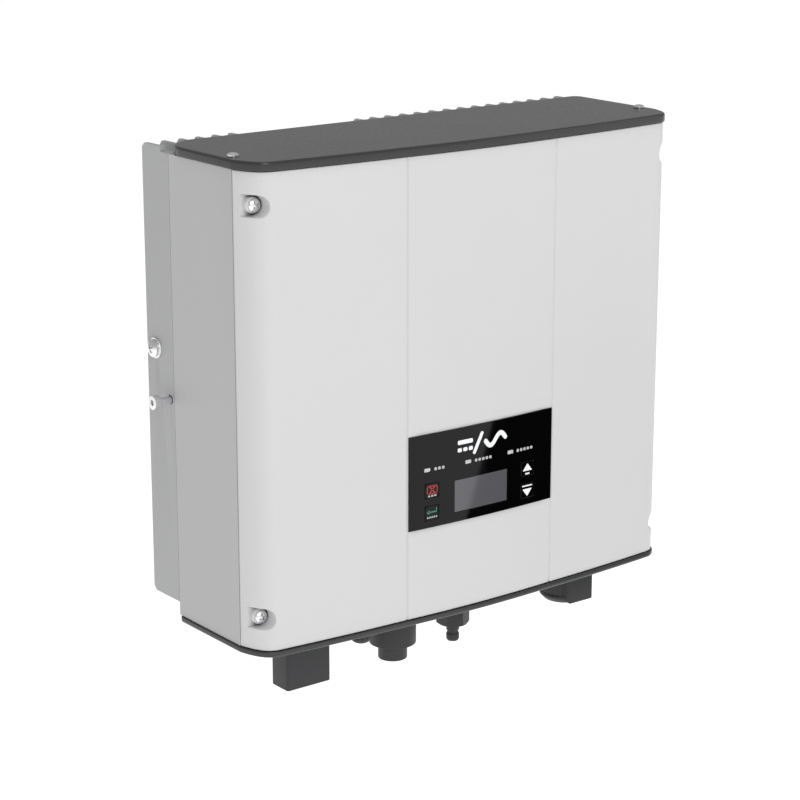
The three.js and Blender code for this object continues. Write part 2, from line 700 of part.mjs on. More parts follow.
addPiece('top_lid', topLid(), 'darkPaint', [0, 0, bodyHeight]);
addPiece('bottom_plate', bottomPlate(), 'darkPaint');
[-1, 1].forEach((side, i) => {
  addPiece(`lid_screw_${i + 1}`, panScrew(3.4, 2.2, 1.75, 10), 'steel',
    [side * edgeScrewX, edgeScrewY, bodyHeight + lidThickness]);
  addPiece(`plate_screw_${i + 1}`, panScrew(3.4, 2.2, 1.75, 10), 'steel',
    [side * edgeScrewX, edgeScrewY, -footThickness], [180, 0, 0]);
});

// ---- display ----

function displayOverlay() {
  const sheet = upright(curvedStrip(overlayWidth / 2, -overlayProud, overlayRecess - 0.2),
    overlayBottom, overlayTop);
  return cut(sheet, ...displayCuts().map((tool, i) => (i === 0 ? windowCut() : tool)));
}

const windowCut = () => block(around(windowCentre[0], windowSize[0] + 0.4), [-20, 5],
  around(windowCentre[1], windowSize[1] + 0.4));

function displayWindow() {
  const sheet = upright(curvedStrip(overlayWidth / 2, -overlayProud + 0.1, overlayRecess - 0.2),
    overlayBottom, overlayTop);
  return common(sheet, block(around(windowCentre[0], windowSize[0]), [-20, 5],
    around(windowCentre[1], windowSize[1])));
}

addPiece('display_overlay', displayOverlay(), 'gloss');
addPiece('display_window', displayWindow(), 'windowPane');

lamps().forEach(({ name, x }) => {
  const front = frontY(x) - overlayProud;
  addPiece(name, block(around(x, lampSize[0]), [front, boardFront - seam], around(lampRow, lampSize[1])),
    'lamp');
});

const keyFront = ({ x }) => frontY(x) - overlayProud - keyProud;

keys().forEach((key) => {
  const front = keyFront(key);
  const outline = roundedRectangle(around(key.x, keySize[0]), around(key.z, keySize[1]), 1.2, 3);
  addPiece(key.name, facing(outline, front, front + keyLength), 'gloss');
});

function displayBoard() {
  const board = block(around(0, displayBoardWidth), [boardFront, boardFront + boardThickness],
    [overlayBottom, overlayTop]);
  const switches = keys().map((key) => block(around(key.x, 6),
    [keyFront(key) + keyLength + keyTravel + 0.2, boardFront + 0.5], around(key.z, 6)));
  return join(board, ...switches);
}

addPiece('display_board', displayBoard(), 'board');

const skinInside = frontY(0) + coverWall;
addPiece('lcd_module', block(around(windowCentre[0], windowSize[0] + 7),
  [skinInside + 0.8, boardFront - seam], around(windowCentre[1], windowSize[1] + 5)), 'module');

// ---- isolator ----

function isolatorHandle() {
  const boss = turned([[0, -bossEnd], [bossRadius - 1.8, -bossEnd], [bossRadius, 2 - bossEnd],
    [bossRadius, underPlate], [0, underPlate]], 28);
  const outline = roundedRectangle(around(0, handleLength), around(0, handleThickness), handleCorner, 3);
  const grip = upright(outline, -handleEnd, 4 - bossEnd);
  const bore = bar(shaftRadius + 0.05, -26, 0, 16);
  return cut(join(boss, grip), bore);
}

addPiece('isolator_handle', isolatorHandle(), 'blackPlastic', [handleX, serviceRow, 0]);
addPiece('isolator_shaft', bar(shaftRadius - 0.25, -25.5, isolatorFloor + 12, 16), 'zinc',
  [handleX, serviceRow, 0]);

function isolatorBody() {
  const neck = bar(isolatorNeck, 0.5 - footThickness, isolatorFloor + 1, 20);
  const [wide, deep, tall] = isolatorSize;
  const box = block(around(0, wide), around(2, deep), [isolatorFloor, isolatorFloor + tall]);
  return cut(join(neck, box), bar(shaftRadius + 0.25, -10, isolatorFloor + 14, 16));
}

addPiece('isolator_body', isolatorBody(), 'blackPlastic', [handleX, serviceRow, 0]);

// ---- gland and vent ----

addPiece('signal_gland', join(
  hexBar(17, underPlate - 5, underPlate),
  bar(glandThread, underPlate - 8, 8, 16)), 'blackPlastic', [...glandPlace, 0]);
addPiece('gland_cap', turned([[0, -22], [3.4, -21.6], [5.4, -20], [6.4, -17], [6.6, -14],
  [6.6, underPlate - 8 - seam], [0, underPlate - 8 - seam]], 18), 'blackPlastic', [...glandPlace, 0]);
addPiece('vent_plug', turned([[0, -16], [4.2, -15.6], [ventRadius - 0.3, -14.2],
  [ventRadius, underPlate - 5], [ventRadius, underPlate], [ventThread, underPlate], [ventThread, 5],
  [0, 5]], 18), 'blackPlastic', [...ventPlace, 0]);

// ---- photovoltaic receptacles ----

function positiveReceptacle() {
  const body = turned([[0, wideEnd], [wideNose - 0.8, wideEnd], [wideNose, wideEnd + 1.5],
    [wideNose, wideCollar], [collarRadius - 0.4, wideCollar], [collarRadius, wideCollar + 2],
    [collarRadius, underPlate], [pvThread, underPlate], [pvThread, 16], [0, 16]], 28);
  const socket = bar(wideSocket, wideEnd - 1, wideEnd + 16, 20);
  return join(cut(body, socket), bar(2, wideEnd + 5, wideEnd + 17, 10));
}

function negativeReceptacle() {
  const nose = turned([[0, narrowEnd], [narrowNose - 0.8, narrowEnd], [narrowNose, narrowEnd + 1.3],
    [narrowNose, narrowShoulder + 1], [narrowThread, narrowShoulder + 2], [narrowThread, 16], [0, 16]], 20);
  const body = join(nose, hexBar(hexFlats, narrowShoulder, underPlate));
  return cut(body, bar(narrowBore, narrowEnd - 1, narrowEnd + 14, 14));
}

function nut(acrossFlats, radius) {
  const [z0, z1] = nutLevels;
  return cut(hexBar(acrossFlats, z0, z1), bar(radius + holeClearance, z0 - 1, z1 + 1));
}

addPiece('pv_plus_receptacle', positiveReceptacle(), 'blackPlastic', [positiveX, serviceRow, 0]);
addPiece('pv_plus_nut', nut(22, pvThread), 'blackPlastic', [positiveX, serviceRow, 0]);
addPiece('pv_minus_receptacle', negativeReceptacle(), 'blackPlastic', [negativeX, serviceRow, 0]);
addPiece('pv_minus_nut', nut(16, narrowThread), 'blackPlastic', [negativeX, serviceRow, 0]);

// ---- grid connector and its dust cap ----

function acConnector() {
  const square = around(0, acFlange);
  const flange = upright(roundedRectangle(square, square, 4), underFlange, underPlate);
  const barrel = bar(acBarrel, acBarrelEnd, 18, 24);
  return join(flange, barrel);
}

function acDustCap() {
  const top = underFlange - seam;
  const round = turned([[0, capEnd], [capRadius - 3, capEnd], [capRadius, capEnd + 3], [capRadius, top],
    [0, top]], 28);
  const pad = upright(roundedRectangle(around(0, padSize[0]), around(2 - capRadius, padSize[1]), 1.5, 2),
    capEnd + 1.5, top - 3.5);
  return cut(join(round, pad), bar(acBarrel + seam, acBarrelEnd - 0.5, 0, 24));
}

addPiece('ac_connector', acConnector(), 'blackPlastic', [acX, serviceRow, 0]);
addPiece('ac_dust_cap', acDustCap(), 'blackPlastic', [acX, serviceRow, 0]);

// ---- power electronics ----

const onBoard = boardY - seam;

function powerBoard() {
  const holes = boardBossPlaces().map(([x, z]) => layBack(bar(2, -2, 4, 10)).translate(x, boardY, z));
  return cut(block([-boardHalf, boardHalf], [boardY, boardBack], boardLevels), ...holes);
}

addPiece('power_board', powerBoard(), 'board');

const padFront = sinkFace - seam - 0.6;
const moduleRow = boardLevels[1] - 55;
const moduleLevels = around(moduleRow, 58);
addPiece('thermal_pad', block([-96, 66], [padFront, sinkFace - seam], around(moduleRow, 66)), 'pad');
addPiece('boost_module', block([-92, -50], [padFront - 6, padFront - seam], moduleLevels), 'module');
addPiece('bridge_module', block([-30, 62], [padFront - 6, padFront - seam], moduleLevels), 'module');
addPiece('clamp_bar', block([-98, 68], [padFront - 9, padFront - 6 - seam], around(moduleRow, 10)), 'zinc');

const upperRow = boardLevels[1] - 34;    // capacitors and inductors, along the board's top
const relayRow = boardLow + 32;
const terminalRow = boardLow + 8;

function capacitor() {
  return turned([[0, 0], [14.2, 0], [15, 1], [15, 31], [14.2, 32], [11, 32], [11, 31.4], [0, 31.4]], 20);
}

[-96, -62, -28].forEach((x, i) => addPiece(`dc_link_capacitor_${i + 1}`, capacitor(), 'sleeve',
  [x, onBoard, upperRow], [90, 0, 0]));

// A coil between the legs of its core, standing on the board.
function coreAndCoil([coreWide, coreTall], depth) {
  const core = block(around(0, coreWide), [-depth, 0], around(0, coreTall));
  const outline = roundedRectangle(around(0, coreWide * 0.62), [-depth - 5, -3], 5, 3);
  const coil = upright(outline, -coreTall / 2 - 6, coreTall / 2 + 6);
  return join(core, coil);
}

addPiece('boost_inductor', coreAndCoil([58, 42], 26), 'ferrite', [21, onBoard, upperRow]);
addPiece('filter_inductor', coreAndCoil([62, 44], 26), 'ferrite', [84, onBoard, upperRow]);

function chokeRing() {
  const ring = [[8, 0], [18, 0], [18, 14], [8, 14], [8, 0]].map(([r, z]) => new THREE.Vector2(r, z));
  return new THREE.LatheGeometry(ring, 20).rotateX(Math.PI / 2);
}

addPiece('emi_choke', chokeRing(), 'copper', [-88, onBoard, relayRow + 8], [90, 0, 0]);
[48, 78].forEach((x, i) => addPiece(`grid_relay_${i + 1}`,
  block(around(x, 26), [onBoard - 18, onBoard], around(relayRow, 30)), 'relayCase'));

function controlBoard() {
  const front = onBoard - 20;
  const board = block([-52, 16], [front, front + boardThickness], [relayRow, relayRow + 34]);
  const headers = [relayRow + 4, relayRow + 30]
    .map((z) => block([-44, 8], [front + 1, onBoard], around(z, 5)));
  return join(board, ...headers);
}

addPiece('control_board', controlBoard(), 'board');
addPiece('dc_terminal_block', block([-30, 20], [onBoard - 14, onBoard], around(terminalRow, 12)),
  'terminal');
addPiece('ac_terminal_block', block([40, 96], [onBoard - 14, onBoard], around(terminalRow, 14)),
  'terminal');

// ---- the object, with its origin on the wall ----

parts.position.set(0, -wallPlane, -hangHeight);
const inverter = new THREE.Group();
inverter.add(parts);

export default inverter;
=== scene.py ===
"""A wall-hung string inverter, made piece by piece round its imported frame.

The frame says where every piece is. Each operator below makes one piece, or a few that are alike, as
surfaces worked out from the frame and from the sizes and colours in the three property groups. Lengths are
in metres.
The case stands with its front towards -Y, and the wall it hangs on is the plane Y = 0.
"""
import json
import math

import bmesh
import bpy
import numpy as np
from bpy.props import FloatProperty, FloatVectorProperty, PointerProperty
from bpy.types import Operator, Panel, PropertyGroup
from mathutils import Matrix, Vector

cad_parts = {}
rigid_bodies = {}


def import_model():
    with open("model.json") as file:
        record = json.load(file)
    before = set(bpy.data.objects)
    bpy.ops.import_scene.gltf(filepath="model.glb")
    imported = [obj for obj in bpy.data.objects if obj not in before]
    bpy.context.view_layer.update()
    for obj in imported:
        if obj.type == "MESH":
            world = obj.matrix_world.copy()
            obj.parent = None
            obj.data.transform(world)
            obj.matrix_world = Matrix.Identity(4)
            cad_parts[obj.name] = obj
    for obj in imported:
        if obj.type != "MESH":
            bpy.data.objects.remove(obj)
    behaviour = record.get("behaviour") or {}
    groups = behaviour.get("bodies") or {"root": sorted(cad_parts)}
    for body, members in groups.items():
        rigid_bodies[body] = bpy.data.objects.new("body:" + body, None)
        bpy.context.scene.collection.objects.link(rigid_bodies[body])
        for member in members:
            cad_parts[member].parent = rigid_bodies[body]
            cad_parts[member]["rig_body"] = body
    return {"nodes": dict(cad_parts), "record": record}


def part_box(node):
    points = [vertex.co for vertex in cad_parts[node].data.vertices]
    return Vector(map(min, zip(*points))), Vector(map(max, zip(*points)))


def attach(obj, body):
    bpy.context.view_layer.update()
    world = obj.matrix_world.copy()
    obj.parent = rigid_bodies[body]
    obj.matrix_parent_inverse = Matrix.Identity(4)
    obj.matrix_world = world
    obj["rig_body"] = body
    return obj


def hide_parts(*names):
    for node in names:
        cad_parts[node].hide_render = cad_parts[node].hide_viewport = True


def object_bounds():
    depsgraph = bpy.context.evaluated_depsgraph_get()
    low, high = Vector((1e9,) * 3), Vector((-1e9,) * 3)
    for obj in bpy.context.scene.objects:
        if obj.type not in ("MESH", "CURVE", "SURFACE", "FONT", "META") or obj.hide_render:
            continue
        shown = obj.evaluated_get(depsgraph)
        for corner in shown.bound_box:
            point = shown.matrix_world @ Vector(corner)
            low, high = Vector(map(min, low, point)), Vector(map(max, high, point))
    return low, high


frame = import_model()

bl_info = {
    "name": "String inverter",
    "version": (1, 0, 0),
    "blender": (4, 5, 0),
    "location": "3D View > Sidebar > Inverter",
    "description": "Makes the visible pieces of a wall-hung string inverter round its packed frame",
    "category": "Object",
}

MM = 0.001
CAD_BOX = [list(corner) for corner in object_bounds()]
BOX = {name: np.array([list(corner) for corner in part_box(name)]) for name in frame["nodes"]}
BODY = {name: node["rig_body"] for name, node in frame["nodes"].items()}
HALF = BOX["front_cover"][1, 0]              # half the cover's width
SEAM_Y = BOX["front_cover"][1, 1]            # the plane where the cover ends and the case begins
FRONT, BACK, LEFT = (0, -1, 0), (0, 1, 0), (-1, 0, 0)
UP, DOWN = (0, 0, 1), (0, 0, -1)


def centre(node):
    """The middle of a node's box."""
    return BOX[node].mean(0)


def extent(node):
    """The size of a node's box along X, Y and Z."""
    return BOX[node][1] - BOX[node][0]


# ---- what a user would change ----

def length(title, about, millimetres):
    """A length in metres with its title, its meaning and its default."""
    return FloatProperty(name=title, description=about, default=millimetres * MM, unit="LENGTH",
                         subtype="DISTANCE", precision=5)


def colour(title, about, red, green, blue):
    """A linear colour with its title, its meaning and its default."""
    return FloatVectorProperty(name=title, description=about, default=(red, green, blue), subtype="COLOR",
                               size=3, min=0, max=1)


class InverterSizes(PropertyGroup):
    """Sizes of the visible surfaces that the frame's boxes don't give."""
    return_depth: length("Return depth", "How far the cover wraps back along the sides", 17.2)
    front_bow: length("Front bow", "How far the middle of the front stands ahead of its corners", 8)
    strip_half: length("Strip half width", "Half the width of the middle strip", 52.5)
    strip_crown: length("Strip crown", "Extra bow of the middle strip", 0.7)
    corner_across: length("Corner", "Width of the front corner's rounding", 13)
    corner_lean: FloatProperty(name="Corner lean", description="Lean of the cover's edge at the seam",
                               default=math.radians(12), subtype="ANGLE")
    groove_width: length("Groove width", "Width of the groove beside the middle strip", 1.6)
    groove_depth: length("Groove depth", "Depth of the groove beside the middle strip", 0.8)
    cover_wall: length("Cover wall", "Wall thickness of the cover", 2)
    pocket_height: length("Pocket height", "Height of the pocket round each cover screw", 12)
    pocket_reach: length("Pocket reach", "How far each pocket runs in from the side", 11.6)
    pocket_floor: length("Pocket floor", "Depth of the pocket's floor behind the corners", 12)
    pocket_rim: length("Pocket rim", "Rounding of the pocket's rim", 0.5)
    seat_depth: length("Seat depth", "Depth of the screw's seat behind the corners", 8.2)
    seat_radius: length("Seat radius", "Radius of the screw's seat", 4.4)
    plate_edge: length("Plate edge", "Rounding of the lid's and the bottom plate's outer edge", 1.6)
    plate_overhang: length("Plate overhang", "How far lid and bottom plate stand out past the cover", 1)
    lid_rear_left: length("Lid rear left", "Radius of the lid's rear left corner", 22)
    lid_rear_right: length("Lid rear right", "Radius of the lid's rear right corner", 6)
    film_proud: length("Film proud", "How far the display film stands out of the cover", 0.5)
    ink: length("Ink", "How far printed signs stand out", 0.05)
    grip_length: length("Grip length", "Length of the isolator's grip", 30)
    grip_width: length("Grip width", "Width of the isolator's grip", 16)
    grip_corner: length("Grip corner", "Radius of the grip's upright corners", 1.6)
    sheet_edge: length("Sheet edge", "Rounding of the edges of folded and cut metal", 0.35)


class InverterColours(PropertyGroup):
    """Colours of the finishes."""
    cover: colour("Cover", "Light grey powder coat of the front cover", 0.605, 0.605, 0.61)
    case: colour("Case", "Mid grey powder coat of the case", 0.44, 0.44, 0.444)
    sink: colour("Heat sink", "Satin aluminium of the heat sink", 0.43, 0.432, 0.437)
    lid: colour("Lid", "Dark grey powder coat of the lid and the bottom plate", 0.033, 0.0334, 0.0345)
    film: colour("Film", "Polished black of the display film and keys", 0.0012, 0.0012, 0.0014)
    pane: colour("Pane", "Grey of the display behind its pane", 0.09, 0.089, 0.098)
    plastic: colour("Plastic", "Black plastic of the connectors and the isolator", 0.021, 0.0215, 0.0235)
    white_ink: colour("White ink", "Printed signs", 0.86, 0.87, 0.88)
    red_ink: colour("Red ink", "Sign on the escape key", 0.42, 0.035, 0.03)
    green_ink: colour("Green ink", "Sign on the enter key", 0.05, 0.26, 0.16)


class InverterStage(PropertyGroup):
    """Camera, floor and lights."""
    aim: FloatVectorProperty(name="Aim", description="Point that the camera looks at",
                             default=(-0.0148, -0.0593, -0.0672), subtype="XYZ", size=3)
    distance: length("Distance", "Camera to the point it looks at", 1366.1)
    azimuth: FloatProperty(name="Azimuth", description="Camera's turn about Z", default=math.radians(-37.39),
                           subtype="ANGLE")
    elevation: FloatProperty(name="Elevation", description="Camera's height above the horizon",
                             default=math.radians(15.32), subtype="ANGLE")
    lens: FloatProperty(name="Lens", description="Focal length in millimetres", default=106.4)
    floor_drop: length("Floor drop", "Space between the lowest piece and the floor", 160)
    world: FloatProperty(name="World", description="Strength of the light from all round", default=0.42)
    glow: FloatProperty(name="Floor glow", description="Light that the floor gives by itself", default=0.6)
    key: FloatProperty(name="Key light", description="Power of the large light, in watts", default=26)
    fill: FloatProperty(name="Fill light", description="Power of the light from the right", default=5)
    top: FloatProperty(name="Top light", description="Power of the light from above", default=8)


def sizes():
    """The scene's sizes."""
    return bpy.context.scene.inverter_sizes


def colours():
    """The scene's colours."""
    return bpy.context.scene.inverter_colours


# ---- shader values ----

class Value:
    """A shader socket that works in Python expressions: each operator adds a Math node."""

    def __init__(self, finish, socket):
        self.finish = finish
        self.socket = socket

    def __add__(self, other):
        return self.finish.math("ADD", self, other)

    def __radd__(self, other):
        return self.finish.math("ADD", other, self)

    def __sub__(self, other):
        return self.finish.math("SUBTRACT", self, other)

    def __rsub__(self, other):
        return self.finish.math("SUBTRACT", other, self)

    def __mul__(self, other):
        return self.finish.math("MULTIPLY", self, other)

    def __rmul__(self, other):
        return self.finish.math("MULTIPLY", other, self)

    def __truediv__(self, other):
        return self.finish.math("DIVIDE", self, other)

    def __abs__(self):
        return self.finish.math("ABSOLUTE", self)


class Finish:
    """A material made of nodes round one Principled shader."""

    def __init__(self, name, **constants):
        self.material = bpy.data.materials.new(name)
        self.material.use_nodes = True
        self.tree = self.material.node_tree
        self.tree.nodes.clear()
        self.shader = self.tree.nodes.new("ShaderNodeBsdfPrincipled")
        output = self.tree.nodes.new("ShaderNodeOutputMaterial")
        self.tree.links.new(self.shader.outputs[0], output.inputs[0])
        for title, constant in constants.items():
            self.feed(self.shader, title.replace("_", " "), constant)
        self.place = self.node("ShaderNodeTexCoord", {}, {}, "Object")

    def feed(self, node, title, value):
        """Sets a socket to a constant, or links a value to it."""
        socket = node.inputs[title]
        if isinstance(value, Value):
            self.tree.links.new(value.socket, socket)
        elif socket.type == "RGBA" and len(value) == 3:
            socket.default_value = (*value, 1)
        else:
            socket.default_value = value

    def node(self, kind, settings, values, output=0):
        """Adds a node: its settings first, then the values or links of its sockets."""
        node = self.tree.nodes.new(kind)
        for title, setting in settings.items():
            setattr(node, title, setting)
        for title, value in values.items():
            self.feed(node, title, value)
        return Value(self, node.outputs[output])

    def math(self, operation, *values):
        """A Math node."""
        return self.node("ShaderNodeMath", {"operation": operation}, dict(enumerate(values)))

    def stretched(self, across, along, up):
        """The place with each axis scaled by itself."""
        return self.node("ShaderNodeVectorMath", {"operation": "MULTIPLY"},
                         {0: self.place, 1: (across, along, up)})

    def axis(self, title):
        """One coordinate of the place."""
        return self.node("ShaderNodeSeparateXYZ", {}, {0: self.place}, title)

    def noise(self, scale, detail=2.0, rough=0.5, place=None):
        """Even noise from 0 to 1 with a feature size of about 1 / scale."""
        return self.node("ShaderNodeTexNoise", {}, {"Vector": place or self.place, "Scale": scale,
                                                    "Detail": detail, "Roughness": rough})

    def cells(self, scale, place=None):
        """Distance to the nearest of many scattered points."""
        return self.node("ShaderNodeTexVoronoi", {}, {"Vector": place or self.place, "Scale": scale})

    def rise(self, value, start, end, low=0.0, high=1.0):
        """A smooth step of a value from low to high."""
        return self.node("ShaderNodeMapRange", {"interpolation_type": "SMOOTHSTEP"},
                         {"Value": value, "From Min": start, "From Max": end, "To Min": low, "To Max": high})

    def blend(self, share, first, second):
        """A mix of two colours."""
        node = self.tree.nodes.new("ShaderNodeMix")
        node.data_type = "RGBA"
        self.feed(node, 0, share)
        self.feed(node, 6, first)
        self.feed(node, 7, second)
        return Value(self, node.outputs[2])

    def edges(self, start=0.53, end=0.62):
        """1 along outward edges, 0 on open faces."""
        return self.rise(self.node("ShaderNodeNewGeometry", {}, {}, "Pointiness"), start, end)

    def narrow(self):
        """Mask for painted shade: 1 deep in narrow gaps, 0 on open faces."""
        openness = self.node("ShaderNodeAmbientOcclusion", {"samples": 6}, {"Distance": 2.5 * MM}, "AO")
        return self.rise(openness, 0.42, 0.2)

    def bump(self, height, depth, strength=1.0):
        """Feeds a height from 0 to 1, and its depth in metres, to the surface normal."""
        self.feed(self.shader, "Normal", self.node("ShaderNodeBump", {}, {
            "Height": height, "Distance": depth, "Strength": strength}))

    def colour(self, value):
        """Feeds the base colour."""
        self.feed(self.shader, "Base Color", value)

    def roughness(self, value):
        """Feeds the roughness."""
        self.feed(self.shader, "Roughness", value)


def scaled(base, factor):
    """A colour made lighter or darker."""
    return tuple(min(1.0, part * factor) for part in base)


# ---- finishes ----

def powder_coat(name, base, grain, gloss, peel_height=0.000035):
    """Powder coat: fine orange peel, a faint cloudiness, a lighter worn line along the edges, and painted
    shade deep in narrow gaps, where the colour falls to a sixth of the base."""
    finish = Finish(name, Specular_IOR_Level=0.42)
    cloud = finish.noise(9, 3, 0.55)
    speck = finish.noise(1900, 1)
    peel = finish.noise(grain, 2, 0.6)
    tone = finish.blend(cloud * 0.6 + speck * 0.4, scaled(base, 0.965), scaled(base, 1.035))
    worn = finish.blend(finish.edges() * 0.35, tone, scaled(base, 1.18))
    # Painted shade: deep in narrow gaps, found by ambient occlusion, the colour falls to 0.16 of the base.
    finish.colour(finish.blend(finish.narrow(), worn, scaled(base, 0.16)))
    finish.roughness(gloss + finish.noise(420, 2) * 0.10 + cloud * 0.05)
    finish.bump(peel * 0.75 + speck * 0.25, peel_height)
    return finish.material


def extruded_aluminium(name, base):
    """Satin aluminium with fine draw lines that run up the fins."""
    finish = Finish(name, Metallic=0.25, Specular_IOR_Level=0.4)
    lines = finish.noise(1, 3, 0.6, finish.stretched(1500, 1500, 14))
    cloud = finish.noise(14, 3)
    blast = finish.noise(2300, 1)
    finish.colour(finish.blend(lines * 0.55 + cloud * 0.45, scaled(base, 0.93), scaled(base, 1.07)))
    finish.roughness(0.44 + lines * 0.14 + cloud * 0.06)
    finish.bump(lines * 0.6 + blast * 0.4, 0.00003)
    return finish.material


def bright_steel(name, base, dull):
    """Bright machined steel: fine turning marks, and a duller film in patches."""
    finish = Finish(name, Metallic=1.0)
    marks = finish.noise(1, 2, 0.6, finish.stretched(2600, 900, 2600))
    film = finish.noise(240, 3)
    finish.colour(finish.blend(film, scaled(base, 0.88), scaled(base, 1.05)))
    finish.roughness(dull + marks * 0.12 + film * 0.10)
    finish.bump(marks, 0.000012)
    return finish.material


def zinc_plate(name, base):
    """Zinc plated sheet: rolled lines, spangle-like patches and a slight blue to yellow drift."""
    finish = Finish(name, Metallic=0.9)
    patches = finish.cells(95)
    drift = finish.noise(18, 2)
    lines = finish.noise(1, 2, 0.5, finish.stretched(40, 900, 900))
    tint = finish.blend(drift, scaled(base, 0.96), (base[0] * 1.04, base[1] * 1.02, base[2] * 0.95))
    finish.colour(finish.blend(patches * 0.35, tint, scaled(base, 0.85)))
    finish.roughness(0.30 + patches * 0.15 + lines * 0.08)
    finish.bump(lines, 0.00001)
    return finish.material


def moulded_plastic(name, base, spark, gloss):
    """Moulded plastic with a spark-eroded texture and edges polished by handling."""
    finish = Finish(name, Specular_IOR_Level=0.45)
    pits = finish.noise(spark, 3, 0.65)
    haze = finish.noise(60, 2)
    moulded = finish.blend(haze, scaled(base, 0.88), scaled(base, 1.14))
    finish.colour(finish.blend(finish.edges() * 0.5, moulded, scaled(base, 1.9)))
    finish.roughness(gloss + pits * 0.12 + haze * 0.05)
    finish.bump(pits, 0.00004)
    return finish.material


def polished_film(name, base):
    """Polished film: nearly a mirror, with faint smears and dust that dull it a little."""
    finish = Finish(name, Specular_IOR_Level=0.22)
    smear = finish.rise(finish.noise(1, 3, 0.6, finish.stretched(70, 70, 16)), 0.45, 0.75)
    dust = finish.rise(finish.noise(2600, 1), 0.72, 0.78)
    grey_dust = (0.05, 0.05, 0.05)
    finish.colour(finish.blend(dust * 0.5, base, grey_dust))
    finish.roughness(0.045 + smear * 0.04 + dust * 0.2)
    finish.bump(finish.noise(35, 2), 0.000012)
    return finish.material


def display_glass(name, base):
    """A clear pane over a resting display: a fine dot raster under the gloss."""
    finish = Finish(name, Specular_IOR_Level=0.5)
    dots_per_metre = 9000.0
    columns = abs(finish.math("SINE", finish.axis("X") * dots_per_metre))
    rows = abs(finish.math("SINE", finish.axis("Z") * dots_per_metre))
    raster = columns * rows
    haze = finish.noise(30, 2)
    grey = finish.blend(raster * 0.5 + haze * 0.5, scaled(base, 0.92), scaled(base, 1.08))
    finish.colour(grey)
    finish.roughness(0.05 + haze * 0.03)
    finish.bump(haze, 0.00001)
    return finish.material


def printed_ink(name, base):
    """Screen-printed ink: a soft gloss with the mesh of the screen in it."""
    finish = Finish(name, Specular_IOR_Level=0.4)
    mesh = finish.noise(3500, 1)
    finish.colour(finish.blend(mesh, scaled(base, 0.92), scaled(base, 1.03)))
    finish.roughness(0.34 + mesh * 0.12)
    finish.bump(mesh, 0.000006)
    return finish.material


def clear_lens(name, base):
    """A milky lamp lens."""
    finish = Finish(name, Specular_IOR_Level=0.5, Subsurface_Weight=0.25,
                    Subsurface_Radius=(0.001, 0.001, 0.001))
    grain = finish.noise(1600, 2)
    finish.colour(finish.blend(grain, scaled(base, 0.93), base))
    finish.roughness(0.12 + grain * 0.08)
    finish.bump(grain, 0.000008)
    return finish.material


def foam_rubber(name, base):
    """Matt closed-cell rubber."""
    finish = Finish(name, Specular_IOR_Level=0.2)
    pores = finish.cells(1400)
    finish.colour(finish.blend(pores, scaled(base, 0.7), scaled(base, 1.4)))
    finish.roughness(0.82 + pores * 0.12)
    finish.bump(pores, 0.00012)
    return finish.material


def board_laminate(name, base):
    """Green solder mask over a lattice of copper tracks, with tinned pads."""
    finish = Finish(name, Specular_IOR_Level=0.5)
    x, z = finish.axis("X"), finish.axis("Z")
    tracks = finish.rise(abs(finish.math("SINE", x * 900.0 + finish.noise(45, 0) * 14.0)), 0.75, 0.85)
    across = finish.rise(abs(finish.math("SINE", z * 760.0 + finish.noise(38, 0) * 12.0)), 0.8, 0.9)
    copper = finish.math("MAXIMUM", tracks, across)
    pads = finish.rise(finish.cells(210), 0.16, 0.12)
    mask = finish.blend(copper, base, scaled(base, 1.7))
    finish.colour(finish.blend(pads, mask, (0.6, 0.6, 0.58)))
    finish.feed(finish.shader, "Metallic", pads * 0.9)
    finish.roughness(0.32 + finish.noise(800, 2) * 0.1)
    finish.bump(copper * 0.5 + pads * 0.5, 0.00004)
    return finish.material


def shrink_sleeve(name, base):
    """A capacitor's dark sleeve with a pale stripe down one side and shrink wrinkles."""
    finish = Finish(name, Specular_IOR_Level=0.5)
    stripe = finish.rise(abs(finish.math("SINE", finish.axis("X") * 92.4 + 1.2)), 0.965, 0.98)
    wrinkle = finish.noise(1, 2, 0.5, finish.stretched(500, 60, 500))
    finish.colour(finish.blend(stripe, base, (0.55, 0.56, 0.6)))
    finish.roughness(0.28 + wrinkle * 0.15)
    finish.bump(wrinkle, 0.00005)
    return finish.material


def sintered_ferrite(name, base):
    """Sintered ferrite: matt, with fine pits."""
    finish = Finish(name, Specular_IOR_Level=0.4, Metallic=0.1)
    pits = finish.noise(1200, 4, 0.7)
    finish.colour(finish.blend(pits, scaled(base, 0.75), scaled(base, 1.35)))
    finish.roughness(0.62 + pits * 0.2)
    finish.bump(pits, 0.00006)
    return finish.material


def enamelled_copper(name, base):
    """Enamelled winding wire."""
    finish = Finish(name, Specular_IOR_Level=0.6, Metallic=0.55, Coat_Weight=0.4)
    wire = finish.noise(260, 2)
    finish.colour(finish.blend(wire, scaled(base, 0.75), scaled(base, 1.25)))
    finish.roughness(0.26 + wire * 0.12)
    finish.bump(wire, 0.00003)
    return finish.material


FINISHES = {}


